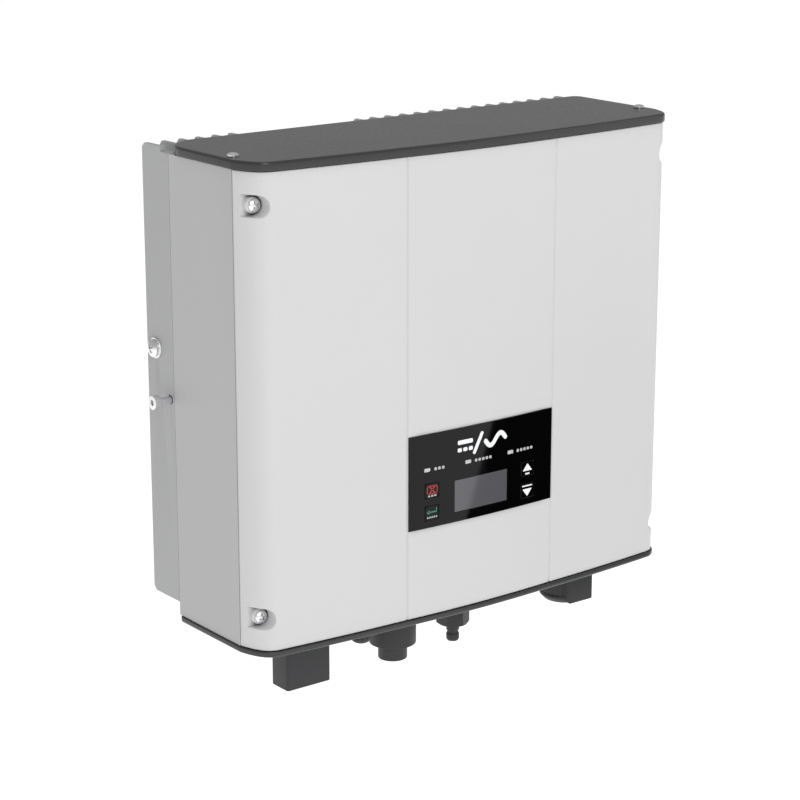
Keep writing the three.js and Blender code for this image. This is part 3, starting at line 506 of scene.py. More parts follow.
def make_finishes():
    """Makes every finish, most of them by the name of their slot in the record."""
    c = colours()
    FINISHES.update({
        "cover_paint": powder_coat("cover_paint", c.cover, 1150, 0.36),
        "case_paint": powder_coat("case_paint", c.case, 1150, 0.42),
        "dark_paint": powder_coat("dark_paint", c.lid, 900, 0.2, 0.000009),
        "sink_metal": extruded_aluminium("sink_metal", c.sink),
        "zinc_plate": zinc_plate("zinc_plate", (0.62, 0.64, 0.66)),
        "bright_steel": bright_steel("bright_steel", (0.86, 0.86, 0.87), 0.2),
        "gasket_rubber": foam_rubber("gasket_rubber", (0.03, 0.03, 0.03)),
        "overlay_gloss": polished_film("overlay_gloss", c.film),
        "key_gloss": polished_film("key_gloss", c.film),
        "window_pane": display_glass("window_pane", c.pane),
        "lamp_lens": clear_lens("lamp_lens", (0.55, 0.56, 0.55)),
        "black_plastic": moulded_plastic("black_plastic", c.plastic, 1500, 0.42),
        "module_plastic": moulded_plastic("module_plastic", (0.03, 0.032, 0.035), 900, 0.55),
        "relay_plastic": moulded_plastic("relay_plastic", (0.03, 0.08, 0.24), 700, 0.4),
        "terminal_plastic": moulded_plastic("terminal_plastic", (0.06, 0.24, 0.09), 700, 0.45),
        "board_laminate": board_laminate("board_laminate", (0.02, 0.13, 0.06)),
        "thermal_film": foam_rubber("thermal_film", (0.33, 0.37, 0.4)),
        "capacitor_sleeve": shrink_sleeve("capacitor_sleeve", (0.02, 0.025, 0.035)),
        "ferrite": sintered_ferrite("ferrite", (0.05, 0.051, 0.054)),
        "copper_wire": enamelled_copper("copper_wire", (0.38, 0.13, 0.05)),
        "white_ink": printed_ink("white_ink", c.white_ink),
        "pale_ink": printed_ink("pale_ink", scaled(c.white_ink, 0.55)),
        "red_ink": printed_ink("red_ink", c.red_ink),
        "green_ink": printed_ink("green_ink", c.green_ink),
    })


# ---- surfaces ----

class Surface:
    """The points and faces of one piece, gathered from grids."""

    def __init__(self):
        self.points = []
        self.faces = []
        self.count = 0

    def grid(self, points, wrap=False, keep=None, close=(False, False)):
        """Adds a grid of rows and columns of points. wrap joins the last column to the first, keep says
        which cells there are, and close shuts the first and the last row with a flat face."""
        rows, columns = points.shape[:2]
        row, column = np.meshgrid(np.arange(rows - 1), np.arange(columns - (not wrap)), indexing="ij")
        beside = (column + 1) % columns
        low, high = row * columns, (row + 1) * columns
        cells = np.stack([low + column, low + beside, high + beside, high + column], -1)
        cells = cells.reshape(-1, 4) if keep is None else cells[keep]
        self.faces += (cells + self.count).tolist()
        ring = np.arange(columns) + self.count
        if close[0]:
            self.faces.append(ring[::-1].tolist())
        if close[1]:
            self.faces.append((ring + (rows - 1) * columns).tolist())
        self.points.append(points.reshape(-1, 3))
        self.count += rows * columns
        return self

    def mesh(self, name, closed):
        """The mesh, with points that meet merged and stray points removed."""
        mesh = bpy.data.meshes.new(name)
        mesh.from_pydata(np.concatenate(self.points), [], self.faces)
        form = bmesh.new()
        form.from_mesh(mesh)
        bmesh.ops.remove_doubles(form, verts=form.verts, dist=2e-6)
        bmesh.ops.delete(form, geom=[v for v in form.verts if not v.link_faces], context="VERTS")
        if closed:
            bmesh.ops.recalc_face_normals(form, faces=form.faces)
        form.to_mesh(mesh)
        form.free()
        return mesh


def add_piece(name, mesh, finish, node, crease=38, replaces=(), body=None, slot=None):
    """Puts a mesh in the scene with its finish, on the body of the node it belongs to."""
    mesh.shade_smooth()
    mesh.set_sharp_from_angle(angle=math.radians(crease))
    mesh.materials.append(FINISHES[finish])
    piece = bpy.data.objects.new(name, mesh)
    bpy.context.scene.collection.objects.link(piece)
    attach(piece, body or BODY[node])
    if replaces:
        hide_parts(*replaces)
    slot or finish in SLOTS
    return piece


SLOTS = {material["slot"] for material in frame["record"]["materials"]}


def stand_in(node, surface, finish, closed=True, crease=38):
    """A new piece that stands for one CAD node."""
    return add_piece(f"{node}_form", surface.mesh(node, closed), finish, node, crease, replaces=(node,))


def thicken(piece, wall):
    """Gives a sheet its wall, inwards."""
    solid = piece.modifiers.new("wall", "SOLIDIFY")
    solid.thickness = wall
    solid.offset = -1
    return solid


def soften(piece, width, steps=2, angle=32):
    """Rounds the sharp edges of a piece."""
    bevel = piece.modifiers.new("edges", "BEVEL")
    bevel.width = width
    bevel.segments = steps
    bevel.limit_method = "ANGLE"
    bevel.angle_limit = math.radians(angle)
    bevel.harden_normals = True
    return bevel


def softened_copy(node, finish, width, steps=2):
    """A merged copy of a CAD node with its edges rounded, which stands for it."""
    mesh = frame["nodes"][node].data.copy()
    mesh.materials.clear()
    form = bmesh.new()
    form.from_mesh(mesh)
    bmesh.ops.remove_doubles(form, verts=form.verts, dist=2e-6)
    bmesh.ops.dissolve_limit(form, angle_limit=math.radians(0.5), verts=form.verts, edges=form.edges,
                             delimit={"NORMAL"})
    form.to_mesh(mesh)
    form.free()
    piece = add_piece(f"{node}_form", mesh, finish, node, 32, replaces=(node,))
    soften(piece, width, steps)
    return piece


def rounded(corners, radius, steps=4, closed=False):
    """A polyline with every corner replaced by a parabola that leaves its sides `radius` before the corner,
    or at half the side where that is shorter."""
    corners = np.asarray(corners, float)
    inner = corners if closed else corners[1:-1]
    before = np.roll(corners, 1, 0) if closed else corners[:-2]
    after = np.roll(corners, -1, 0) if closed else corners[2:]

    def leave(other):
        """Where the curve leaves the side that runs to another corner."""
        way = other - inner
        reach = np.linalg.norm(way, axis=1, keepdims=True)
        return inner + way / reach * np.minimum(np.reshape(radius, (-1, 1)), reach * 0.499)

    t = np.linspace(0, 1, steps + 1)[None, :, None]
    start, end = leave(before)[:, None], leave(after)[:, None]
    curve = (1 - t) ** 2 * start + 2 * t * (1 - t) * inner[:, None] + t ** 2 * end
    curve = curve.reshape(-1, 2)
    return curve if closed else np.concatenate([corners[:1], curve, corners[-1:]])


def arc(u, v, radius, start, end, steps):
    """Points on an arc, with its angles in degrees."""
    angle = np.radians(np.linspace(start, end, steps + 1))
    return np.stack([u + radius * np.cos(angle), v + radius * np.sin(angle)], -1)


def rectangle(width, height, radius, steps=6, at=(0, 0)):
    """A rectangle with round corners, counter-clockwise."""
    u, v = width / 2 - radius, height / 2 - radius
    quarters = [(u, -v, -90), (u, v, 0), (-u, v, 90), (-u, -v, 180)]
    return np.concatenate([arc(a, b, radius, turn, turn + 90, steps) for a, b, turn in quarters]) + at


def outward(loop):
    """The outward direction at each point of a counter-clockwise loop, square to the line through its
    neighbours."""
    along = np.roll(loop, -1, 0) - np.roll(loop, 1, 0)
    along = along / np.linalg.norm(along, axis=1, keepdims=True)
    return np.stack([along[:, 1], -along[:, 0]], -1)


def slab(outline, edge):
    """An outline carried along an edge profile: each row of (inset, height) is the outline moved in by the
    inset, at that height."""
    edge = np.asarray(edge, float)
    flat = outline[None] - outward(outline)[None] * edge[:, None, :1]
    height = np.broadcast_to(edge[:, None, 1:], (*flat.shape[:2], 1))
    return np.concatenate([flat, height], -1)


def soft_edge(low, high, under, over, steps=4):
    """The edge profile of a slab from low to high, rounded by `under` at its foot and `over` at its top."""
    return rounded([(under * 2, low), (0, low), (0, high), (over * 2, high)], (under, over), steps)


def turned(profile, steps=64, shape=None, angles=None):
    """A profile of (radius, height) carried round the axis. shape(radius, angle, height) may change the
    radius with the angle, for flats, ribs and recesses."""
    profile = np.asarray(profile, float)
    angle = np.linspace(0, math.tau, steps, endpoint=False) if angles is None else angles
    radius, height = profile[:, :1], profile[:, 1:]
    far = np.broadcast_to(radius, (len(profile), len(angle)))
    if shape is not None:
        far = shape(far, angle[None], height)
    return np.stack([far * np.cos(angle), far * np.sin(angle), np.broadcast_to(height, far.shape)], -1)


def placed(points, place, out=UP):
    """Points with their own Z along `out`, carried to a place. Seen from outside, their X points right, and
    their Y points up or, on a face that looks up or down, along `out` turned a quarter."""
    out = np.array(out, float)
    up = np.array((0, 0, 1.0) if abs(out[2]) < 0.5 else (0, out[2], 0))
    return points @ np.array([np.cross(up, out), up, out]) + np.array(place)


def hexagon(angle, flats):
    """The radius of a hexagon with this width across its flats, at an angle."""
    sixth = math.tau / 6
    return flats / 2 / np.cos((angle + sixth / 2) % sixth - sixth / 2)


def resample(line, count):
    """A polyline divided into equal steps along its length."""
    steps = np.linalg.norm(np.diff(line, axis=0), axis=1)
    run = np.concatenate([[0], np.cumsum(steps)])
    at = np.linspace(0, run[-1], count + 1)
    return np.stack([np.interp(at, run, line[:, i]) for i in range(line.shape[1])], -1)


def stops(breaks, step):
    """Values that include every break, and no further apart than a step between them."""
    spans = [np.linspace(a, b, max(2, math.ceil((b - a) / step) + 1))[:-1]
             for a, b in zip(breaks, breaks[1:])]
    return np.concatenate([*spans, breaks[-1:]])


# ---- the front's plan ----

def front_y(x):
    """Where the front's surface is: a parabola across the whole width, and a smaller one on the middle
    strip."""
    s = sizes()
    bow = -s.front_bow * (1 - (x / HALF) ** 2)
    crown = -s.strip_crown * np.clip(1 - (x / s.strip_half) ** 2, 0, None)
    return SEAM_Y - s.return_depth + bow + crown


class Plan:
    """The cover's outside seen from above, measured along its length from the left seam to the right one.
    Each corner is a Bezier curve that leaves along the front and arrives at the seam with its lean."""

    def __init__(self):
        s = sizes()
        edge = HALF - s.corner_across
        start = np.array([edge, front_y(edge)])
        end = np.array([HALF, SEAM_Y])
        slope = np.array([1, 2 * s.front_bow * edge / HALF ** 2])
        lean = np.array([math.sin(s.corner_lean), math.cos(s.corner_lean)])
        reach = 0.55
        first = start + slope / np.linalg.norm(slope) * reach * s.corner_across
        second = end - lean * reach * (end[1] - start[1])
        t = np.linspace(0, 1, 121)[:, None]
        corner = ((1 - t) ** 3 * start + 3 * t * (1 - t) ** 2 * first + 3 * t ** 2 * (1 - t) * second
                  + t ** 3 * end)
        x = np.linspace(-edge, edge, 801)[1:-1]
        front = np.stack([x, front_y(x)], -1)
        self.points = np.concatenate([corner[::-1] * (-1, 1), front, corner])
        steps = np.linalg.norm(np.diff(self.points, axis=0), axis=1)
        self.run = np.concatenate([[0], np.cumsum(steps)])
        self.total = self.run[-1]

    def at(self, s):
        """The points at these lengths."""
        return np.stack([np.interp(s, self.run, self.points[:, i]) for i in (0, 1)], -1)

    def out(self, s):
        """The outward directions at these lengths."""
        step = 4e-4
        along = self.at(np.clip(s + step, 0, self.total)) - self.at(np.clip(s - step, 0, self.total))
        along = along / np.linalg.norm(along, axis=-1, keepdims=True)
        return np.stack([along[..., 1], -along[..., 0]], -1)

    def to_x(self, x):
        """The length at which the curve has this X."""
        return np.interp(x, self.points[:, 0], self.run)

    def to_depth(self, y):
        """The length at which the right corner has this Y."""
        right = self.points[:, 0] > HALF - sizes().corner_across
        return np.interp(y, self.points[right, 1], self.run[right])


def groove_depth(x):
    """A V groove on both sides of the middle strip."""
    s = sizes()
    away = np.abs(np.abs(x) - s.strip_half)
    return s.groove_depth * np.clip(1 - away / (s.groove_width / 2), 0, 1)


# ---- front cover ----

def cover_skin(plan, s, z, inset=0.0, sink=0.0):
    """Points of the cover's outside: the plan at length s, moved in by the inset and back by the sink."""
    s, z, inset, sink = np.broadcast_arrays(s, z, inset, sink)
    flat = plan.at(s) - plan.out(s) * inset[..., None]
    y = flat[..., 1] + sink + groove_depth(flat[..., 0])
    return np.stack([flat[..., 0], y, z], -1)


def pocket_frame(plan, level):
    """The corners of the patch round a pocket on the right, as lengths and heights."""
    s = sizes()
    around = 3.5 * MM
    start = plan.to_x(HALF - s.pocket_reach - around)
    open_end = plan.to_depth(SEAM_Y - s.return_depth + s.pocket_floor)
    reach = s.pocket_height / 2 + around
    return (start, open_end + 2.4 * MM), (level - reach, level + reach), open_end


POCKET_STEPS = (14, 12)           # cells along and up a pocket's patch


def pocket_surface(plan, level):
    """A pocket on the right. Its loop is a half circle that opens to the side; the rows run from the patch's
    border to the loop, over its rim, down its wall and across its floor."""
    sz = sizes()
    (s0, s1), (z0, z1), open_end = pocket_frame(plan, level)
    along, up = POCKET_STEPS
    radius = sz.pocket_height / 2
    round_x = HALF - sz.pocket_reach + radius

    def bow(start, end):
        """A stretch of the half circle, as lengths and heights."""
        line = arc(round_x, level, radius, start, end, 30)
        return np.stack([plan.to_x(line[:, 0]), line[:, 1]], -1)

    low, high = np.array([open_end, level - radius]), np.array([open_end, level + radius])
    sides = [resample(np.concatenate([bow(225, 270), low[None]]), along),
             resample(np.stack([low, high]), up),
             resample(np.concatenate([high[None], bow(90, 135)]), along),
             resample(bow(135, 225), up)]
    hole = np.concatenate([side[:-1] for side in sides])
    frame_sides = [((s0, z0), (s1, z0), along), ((s1, z0), (s1, z1), up), ((s1, z1), (s0, z1), along),
                   ((s0, z1), (s0, z0), up)]
    border = np.concatenate([resample(np.array([a, b]), n)[:-1] for a, b, n in frame_sides])
    out = outward(hole)
    rim = sz.pocket_rim
    floor = SEAM_Y - sz.return_depth + sz.pocket_floor
    deep = 1.0           # past any floor, so that the floor limits it
    rows = [(border + (hole + out * rim - border) * share, 0) for share in (0, 0.4, 0.75, 1)]
    rows += [(hole + out * rim * 0.55, 0.1 * rim), (hole + out * rim * 0.15, 0.45 * rim), (hole, rim)]
    screw_x = centre("cover_screw_3")[0]
    spoke = np.stack([plan.at(hole[:, 0])[:, 0] - screw_x, hole[:, 1] - level], -1)
    spoke = spoke / np.linalg.norm(spoke, axis=1, keepdims=True)

    def ring(radius):
        """A circle round the screw, as lengths and heights."""
        return np.stack([plan.to_x(screw_x + spoke[:, 0] * radius), level + spoke[:, 1] * radius], -1)

    rows += [(hole, 3 * rim), (hole, 6 * rim), (hole, 12 * rim), (hole, deep),
             (hole - out * 0.3 * rim, deep)]
    seat = len(rows)
    rows += [(ring(sz.seat_radius), deep), (ring(sz.seat_radius - 0.05 * MM), deep),
             (ring(sz.seat_radius - 0.4 * MM), deep), (ring(2.6 * MM), deep), (ring(0), deep)]
    flat = np.stack([line for line, _ in rows])
    sink = np.array([depth for _, depth in rows])[:, None]
    bottom = np.full((len(rows), 1), floor)
    bottom[seat + 1:] = SEAM_Y - sz.return_depth + sz.seat_depth
    bottom[seat + 1] += 0.35 * MM
    room = np.clip(bottom - plan.at(flat[..., 0])[..., 1], 0, None)
    return cover_skin(plan, flat[..., 0], flat[..., 1], 0, np.minimum(sink, room))


def cover_surface():
    """The cover as one open sheet. Columns follow the plan from seam to seam, rows go up; the first and last
    rows turn in under the lid and over the bottom plate. Cells at the pockets and behind the display are
    left out, and the pockets' own patches fill their places."""
    sz = sizes()
    plan = Plan()
    low, high = BOX["front_cover"][:, 2]
    film = BOX["display_overlay"]
    levels = sorted({round(float(centre(f"cover_screw_{i}")[2]), 6) for i in (1, 2)})
    frames = [pocket_frame(plan, level) for level in levels]
    (s0, s1), _, _ = frames[0]
    lap = 3 * MM
    groove = sz.groove_width / 2
    edge = plan.to_x(HALF - sz.corner_across)
    grooves = [plan.to_x(sz.strip_half + step * groove) for step in (-1, -0.5, -0.2, 0.2, 0.5, 1)]
    window = plan.to_x(film[1, 0] - lap)
    right = [plan.total / 2, window, *grooves]
    pocket = np.linspace(s0, s1, POCKET_STEPS[0] + 1)
    half = np.concatenate([stops(right, 4 * MM)[:-1], stops([grooves[-1], edge - 12 * MM], 4 * MM)[:-1],
                           stops([edge - 12 * MM, s0], 2 * MM)[:-1], pocket[:-1],
                           stops([s1, plan.total], 0.8 * MM)])
    half = np.sort(half)
    s = np.concatenate([plan.total - half[::-1], half[1:]])
    z_lines = [np.linspace(*bounds, POCKET_STEPS[1] + 1) for _, bounds, _ in frames]
    round_edge = 0.7 * MM
    body = np.concatenate([
        stops([low + round_edge, z_lines[0][0]], 6 * MM)[:-1], z_lines[0],
        stops([z_lines[0][-1], film[0, 2] + lap, film[1, 2] - lap, z_lines[1][0]], 9 * MM)[1:-1], z_lines[1],
        stops([z_lines[1][-1], high - round_edge], 6 * MM)[1:]])
    turn = np.radians([90, 67.5, 45, 22.5])
    inset = round_edge * (1 - np.cos(turn))
    drop = round_edge * (1 - np.sin(turn))
    flange = 5 * MM
    z = np.concatenate([[low], low + drop, body, (high - drop)[::-1], [high]])
    moved_in = np.concatenate([[flange], inset, np.zeros(len(body)), inset[::-1], [flange]])
    last = np.where(np.isclose(np.abs(s - plan.total / 2), plan.total / 2), 0.2 * MM, 0)
    points = cover_skin(plan, s[None], z[:, None], moved_in[:, None] + last[None])
    middle_s, middle_z = (s[1:] + s[:-1]) / 2, (z[1:] + z[:-1]) / 2
    from_middle = np.abs(middle_s - plan.total / 2)[None] + plan.total / 2
    keep = np.ones((len(z) - 1, len(s) - 1), bool)
    for (a, b), (c, d), _ in frames:
        keep &= ~((from_middle > a) & (from_middle < b) & (middle_z > c)[:, None] & (middle_z < d)[:, None])
    keep &= ~((from_middle < window) & (middle_z > film[0, 2] + lap)[:, None]
              & (middle_z < film[1, 2] - lap)[:, None])
    surface = Surface().grid(points, keep=keep)
    for level in levels:
        right_pocket = pocket_surface(plan, level)
        surface.grid(right_pocket, wrap=True)
        surface.grid((right_pocket * (-1, 1, 1))[:, ::-1], wrap=True)
    return surface


class INVERTER_OT_cover(Operator):
    """Makes the bowed front cover with its grooves and four screw pockets"""
    bl_idname = "inverter.cover"
    bl_label = "Front cover"

    def execute(self, context):
        cover = stand_in("front_cover", cover_surface(), "cover_paint", closed=False, crease=42)
        thicken(cover, sizes().cover_wall)
        use_node("cover_gasket", "gasket_rubber")
        return {"FINISHED"}


def use_node(node, finish):
    """Keeps a CAD node as it is, with a finish."""
    piece = frame["nodes"][node]
    piece.data.materials.clear()
    piece.data.materials.append(FINISHES[finish])


# ---- lid and bottom plate ----

def plate_outline(plan, rear, left_radius, right_radius):
    """The front's plan moved out by the overhang, run straight back along the sides, and closed by the rear
    edge with its two corner radii."""
    over = sizes().plate_overhang
    edge = plan.to_x(HALF - sizes().corner_across)
    s = stops([0, plan.total - edge, edge, plan.total], 3 * MM)
    corner = stops([edge, plan.total], 0.9 * MM)
    s = np.unique(np.round(np.concatenate([s, corner, plan.total - corner]), 7))
    line = plan.at(s) + plan.out(s) * over
    side = HALF + over
    line[:, 0] = np.clip(line[:, 0], -side, side)
    right = arc(side - right_radius, rear - right_radius, right_radius, 0, 90, 10)
    left = arc(-side + left_radius, rear - left_radius, left_radius, 90, 180, 16)
    return np.concatenate([line, right, left])


def plate_surface(node, left_radius, right_radius, soft_up):
    """A plate with a large rounding on one edge and a fine one on the other."""
    low, high = BOX[node][:, 2]
    soft, fine = sizes().plate_edge, 0.55 * MM
    under, over = (fine, soft) if soft_up else (soft, fine)
    outline = plate_outline(Plan(), BOX[node][1, 1], left_radius, right_radius)
    return Surface().grid(slab(outline, soft_edge(low, high, under, over, 6)), wrap=True, close=(True, True))


class INVERTER_OT_plates(Operator):
    """Makes the dark lid and the bottom plate"""
    bl_idname = "inverter.plates"
    bl_label = "Lid and bottom plate"

    def execute(self, context):
        s = sizes()
        stand_in("top_lid", plate_surface("top_lid", s.lid_rear_left, s.lid_rear_right, True), "dark_paint")
        rear_radius = 4 * MM
        plate = plate_surface("bottom_plate", rear_radius, rear_radius, False)
        stand_in("bottom_plate", plate, "dark_paint")
        return {"FINISHED"}


# ---- case, heat sink, bracket ----

class INVERTER_OT_case(Operator):
    """Makes the folded case"""
    bl_idname = "inverter.case"
    bl_label = "Case"

    def execute(self, context):
        softened_copy("case_frame", "case_paint", sizes().sheet_edge)
        return {"FINISHED"}


class INVERTER_OT_heat_sink(Operator):
    """Makes the finned heat sink"""
    bl_idname = "inverter.heat_sink"
    bl_label = "Heat sink"

    def execute(self, context):
        softened_copy("heat_sink", "sink_metal", sizes().sheet_edge)
        return {"FINISHED"}


class INVERTER_OT_bracket(Operator):
    """Makes the wall bracket and the hook that hangs on it"""
    bl_idname = "inverter.bracket"
    bl_label = "Bracket and hook"

    def execute(self, context):
        for node in ("wall_bracket", "sink_hook"):
            softened_copy(node, "zinc_plate", sizes().sheet_edge)
        return {"FINISHED"}


# ---- screws ----

def cross_radius(angle, arm, half_width):
    """How far a cross with these arms reaches from its middle at an angle."""
    c, s = np.abs(np.cos(angle)) + 1e-9, np.abs(np.sin(angle)) + 1e-9
    return np.maximum(np.minimum(arm / c, half_width / s), np.minimum(arm / s, half_width / c))


def screw_head(radius, height, recess, shank, depth, dome=0.5):
    """A head with a recess. The profile runs up from the shank's end round the head to the recess's rim,
    where the rows take the recess's outline, and on down its wall to its floor. The top is a shallow dome:
    its height falls with the 2.4th power of the distance from the axis."""
    angle = np.unique(np.concatenate([np.linspace(0, math.tau, 96, endpoint=False), recess["corners"]]))
    reach = recess["reach"](angle)
    thin, long = shank
    flank = rounded([(0, -long), (thin * 0.7, -long), (thin, -long * 0.92), (thin, 0),
                     (radius, 0), (radius, height * (1 - dome))], 0.22 * MM, 3)
    body = turned(flank, angles=angle)
    top = lambda r: height * (1 - dome * (r / radius) ** 2.4)
    share = np.array([0.02, 0.1, 0.3, 0.6, 0.85, 1])[:, None]
    ring = radius + (reach * 1.04 - radius) * share
    wall = [(1.0, 0.08), (0.96, 0.3), (0.9, 0.75), (0.84, 1.0), (0.4, 1.08), (0, 1.12)]
    in_ring = np.stack([reach * size for size, _ in wall])
    in_height = np.stack([top(reach) - depth * deep for _, deep in wall])
    rings, heights = np.concatenate([ring, in_ring]), np.concatenate([top(ring), in_height])
    head = np.stack([rings * np.cos(angle), rings * np.sin(angle), heights], -1)
    return np.concatenate([body, head])


def cross_recess(arm, half_width):
    """A cross recess, with the directions of its corners."""
    tip = math.atan2(half_width, arm)
    quarter = math.tau / 4
    corners = np.concatenate([np.arange(4) * quarter + shift for shift in (tip, quarter - tip, quarter / 2)])
    return {"corners": corners % math.tau, "reach": lambda angle: cross_radius(angle, arm, half_width)}


def hex_recess(flats):
    """A hexagon socket, with the directions of its corners."""
    sixth = math.tau / 6
    return {"corners": np.arange(6) * sixth + sixth / 2, "reach": lambda angle: hexagon(angle, flats)}


SCREW_TURNS = {"cover_screw_1": 20, "cover_screw_2": 38, "cover_screw_3": 65, "cover_screw_4": 5,
               "lid_screw_1": 30, "lid_screw_2": 70, "plate_screw_1": 12, "plate_screw_2": 50,
               "earth_screw": 25, "side_bolt": 10, "hook_screw_1": 0, "hook_screw_2": 40}


def spun(points, degrees):
    """Points turned about their own axis."""
    turn = math.radians(degrees)
    c, s = math.cos(turn), math.sin(turn)
    return points @ np.array([[c, s, 0], [-s, c, 0], [0, 0, 1]])


def add_screw(node, out, head_height, shank_length, recess, depth, dome=0.5):
    """Makes the screw of a node whose head stands on the node's box along `out`."""
    axis = int(np.argmax(np.abs(out)))
    side = [i for i in range(3) if i != axis]
    radius = extent(node)[side[0]] / 2
    face = BOX[node][1 if out[axis] > 0 else 0].copy()
    place = centre(node)
    place[axis] = face[axis] - out[axis] * head_height
    points = screw_head(radius, head_height, recess, (radius * 0.52, shank_length), depth, dome)
    surface = Surface().grid(placed(spun(points, SCREW_TURNS[node]), place, out), wrap=True)
    return stand_in(node, surface, "bright_steel", crease=44)


class INVERTER_OT_screws(Operator):
    """Makes the screws of the cover, the lid, the bottom plate, the hook and the earth point"""
    bl_idname = "inverter.screws"
    bl_label = "Screws"

    def execute(self, context):
        for i in (1, 2, 3, 4):
            large = cross_recess(2.2 * MM, 0.52 * MM)
            add_screw(f"cover_screw_{i}", FRONT, 2.8 * MM, 11 * MM, large, 1.5 * MM)
        for i in (1, 2):
            small = cross_recess(1.9 * MM, 0.46 * MM)
            add_screw(f"lid_screw_{i}", UP, 2.2 * MM, 9 * MM, small, 1.2 * MM)
            add_screw(f"plate_screw_{i}", DOWN, 2.2 * MM, 9 * MM, small, 1.2 * MM)
            add_screw(f"hook_screw_{i}", BACK, 2.6 * MM, 9 * MM, cross_recess(2.4 * MM, 0.55 * MM), 1.4 * MM)
        add_screw("earth_screw", LEFT, 3.4 * MM, 8 * MM, cross_recess(2.6 * MM, 0.6 * MM), 1.8 * MM)
        add_screw("side_bolt", LEFT, 4 * MM, 20 * MM, hex_recess(3.2 * MM), 2.4 * MM, 0.06)
        self.add_washer()
        return {"FINISHED"}

    def add_washer(self):
        """The earth point's washer: a ring with its outer rim serrated by a cosine of the angle."""
        low, high = BOX["earth_washer"]
        outer, inner, thick = (high - low)[1] / 2, 2.75 * MM, (high - low)[0]
        ring = rounded([(inner, 0), (outer, 0), (outer, thick), (inner, thick)], 0.2 * MM, 3, closed=True)
        ring = np.concatenate([ring, ring[:1]])
        teeth = 24
        serrated = lambda r, angle, _: r * (1 - 0.02 * (r > outer * 0.9) * (1 + np.cos(teeth * angle)))
        points = placed(turned(ring, 144, serrated), (high[0], *centre("earth_washer")[1:]), LEFT)
        stand_in("earth_washer", Surface().grid(points, wrap=True), "bright_steel")


# ---- display ----

def front_sheet(x_lines, z_lines, lift, holes=()):
    """A sheet that follows the front, `lift` ahead of it, with its cells left out inside each hole, given as
    (x0, x1, z0, z1)."""
    x, z = np.unique(np.round(x_lines, 7)), np.unique(np.round(z_lines, 7))
    grid_x, grid_z = np.meshgrid(x, z)
    points = np.stack([grid_x, front_y(grid_x) - lift, grid_z], -1)
    mid_x, mid_z = (x[1:] + x[:-1]) / 2, ((z[1:] + z[:-1]) / 2)[:, None]
    keep = np.ones((len(z) - 1, len(x) - 1), bool)
    for x0, x1, z0, z1 in holes:
        keep &= ~((mid_x > x0) & (mid_x < x1) & (mid_z > z0) & (mid_z < z1))
    return points, keep


def add_front_sheet(node, finish, lift, wall, holes, edge, step=2 * MM):
    """Makes a node as a sheet with a wall and soft edges."""
    low, high = BOX[node]
    x_breaks = np.sort([low[0], high[0], *[side for hole in holes for side in hole[:2]]])
    z_breaks = np.sort([low[2], high[2], *[side for hole in holes for side in hole[2:]]])
    points, keep = front_sheet(stops(x_breaks, step), stops(z_breaks, step), lift, holes)
    sheet = stand_in(node, Surface().grid(points, keep=keep), finish, closed=False)
    thicken(sheet, wall)
    soften(sheet, edge, 2, 60)
    return sheet


def opening(node, gap):
    """The opening round a node, as (x0, x1, z0, z1)."""
    low, high = BOX[node]
    return (low[0] - gap, high[0] + gap, low[2] - gap, high[2] + gap)


KEYS = ("key_escape", "key_enter", "key_up", "key_down")
LAMPS = ("lamp_run", "lamp_alarm", "lamp_fault")


class INVERTER_OT_display(Operator):
    """Makes the display film, its pane and the three lamps"""
    bl_idname = "inverter.display"
    bl_label = "Display"

    def execute(self, context):
        gap = 0.09 * MM
        holes = [opening(node, gap) for node in (*KEYS, *LAMPS, "display_window")]
        proud = sizes().film_proud
        add_front_sheet("display_overlay", "overlay_gloss", proud, 0.9 * MM, holes, 0.12 * MM)
        add_front_sheet("display_window", "window_pane", proud - 0.1 * MM, 0.8 * MM, (), 0.1 * MM)
        for node in LAMPS:
            width, deep, height = extent(node)
            outline = rectangle(width, height, 0.6 * MM)
            edge = rounded([(0, 0), (0, deep), (0.5 * MM, deep)], 0.4 * MM, 5)
            place = (centre(node)[0], BOX[node][1, 1], centre(node)[2])
            points = placed(slab(outline, edge), place, FRONT)
            stand_in(node, Surface().grid(points, wrap=True, close=(True, True)), "lamp_lens")
        return {"FINISHED"}


class INVERTER_OT_keys(Operator):
    """Makes the four keys"""
    bl_idname = "inverter.keys"
    bl_label = "Keys"

    def execute(self, context):
        for node in KEYS:
            width, deep, height = extent(node)
            outline = rectangle(width, height, 1.2 * MM, 8)
            edge = soft_edge(0, deep, 0.2 * MM, 0.22 * MM, 5)
            place = (centre(node)[0], BOX[node][1, 1], centre(node)[2])
            points = placed(slab(outline, edge), place, FRONT)
            stand_in(node, Surface().grid(points, wrap=True, close=(True, True)), "key_gloss")
        return {"FINISHED"}


# ---- printed signs: outlines in millimetres, X to the right and Y up, about their own middle ----

def stroke(line, width, steps=5):
    """A line given a width and round ends: its points moved to both sides and joined by half circles."""
    line = np.asarray(line, float)
    along = np.gradient(line, axis=0)
    along = along / np.linalg.norm(along, axis=1, keepdims=True)
    side = np.stack([along[:, 1], -along[:, 0]], -1) * width / 2
    heading = np.degrees(np.arctan2(along[[0, -1], 1], along[[0, -1], 0]))
    end = arc(*line[-1], width / 2, heading[1] - 90, heading[1] + 90, steps)[1:-1]
    start = arc(*line[0], width / 2, heading[0] + 90, heading[0] + 270, steps)[1:-1]
    return np.concatenate([line + side, end, (line - side)[::-1], start])


def wave(width, height, weight):
    """One period of a sine wave as a stroke."""
    x = np.linspace(-0.5, 0.5, 29)
    return stroke(np.stack([x * width, np.sin(x * math.tau) * height / 2], -1), weight)


def bar_sign(width, height, at=(0, 0)):
    """A bar with round corners."""
    return rectangle(width, height, min(width, height) * 0.3, 3, at)


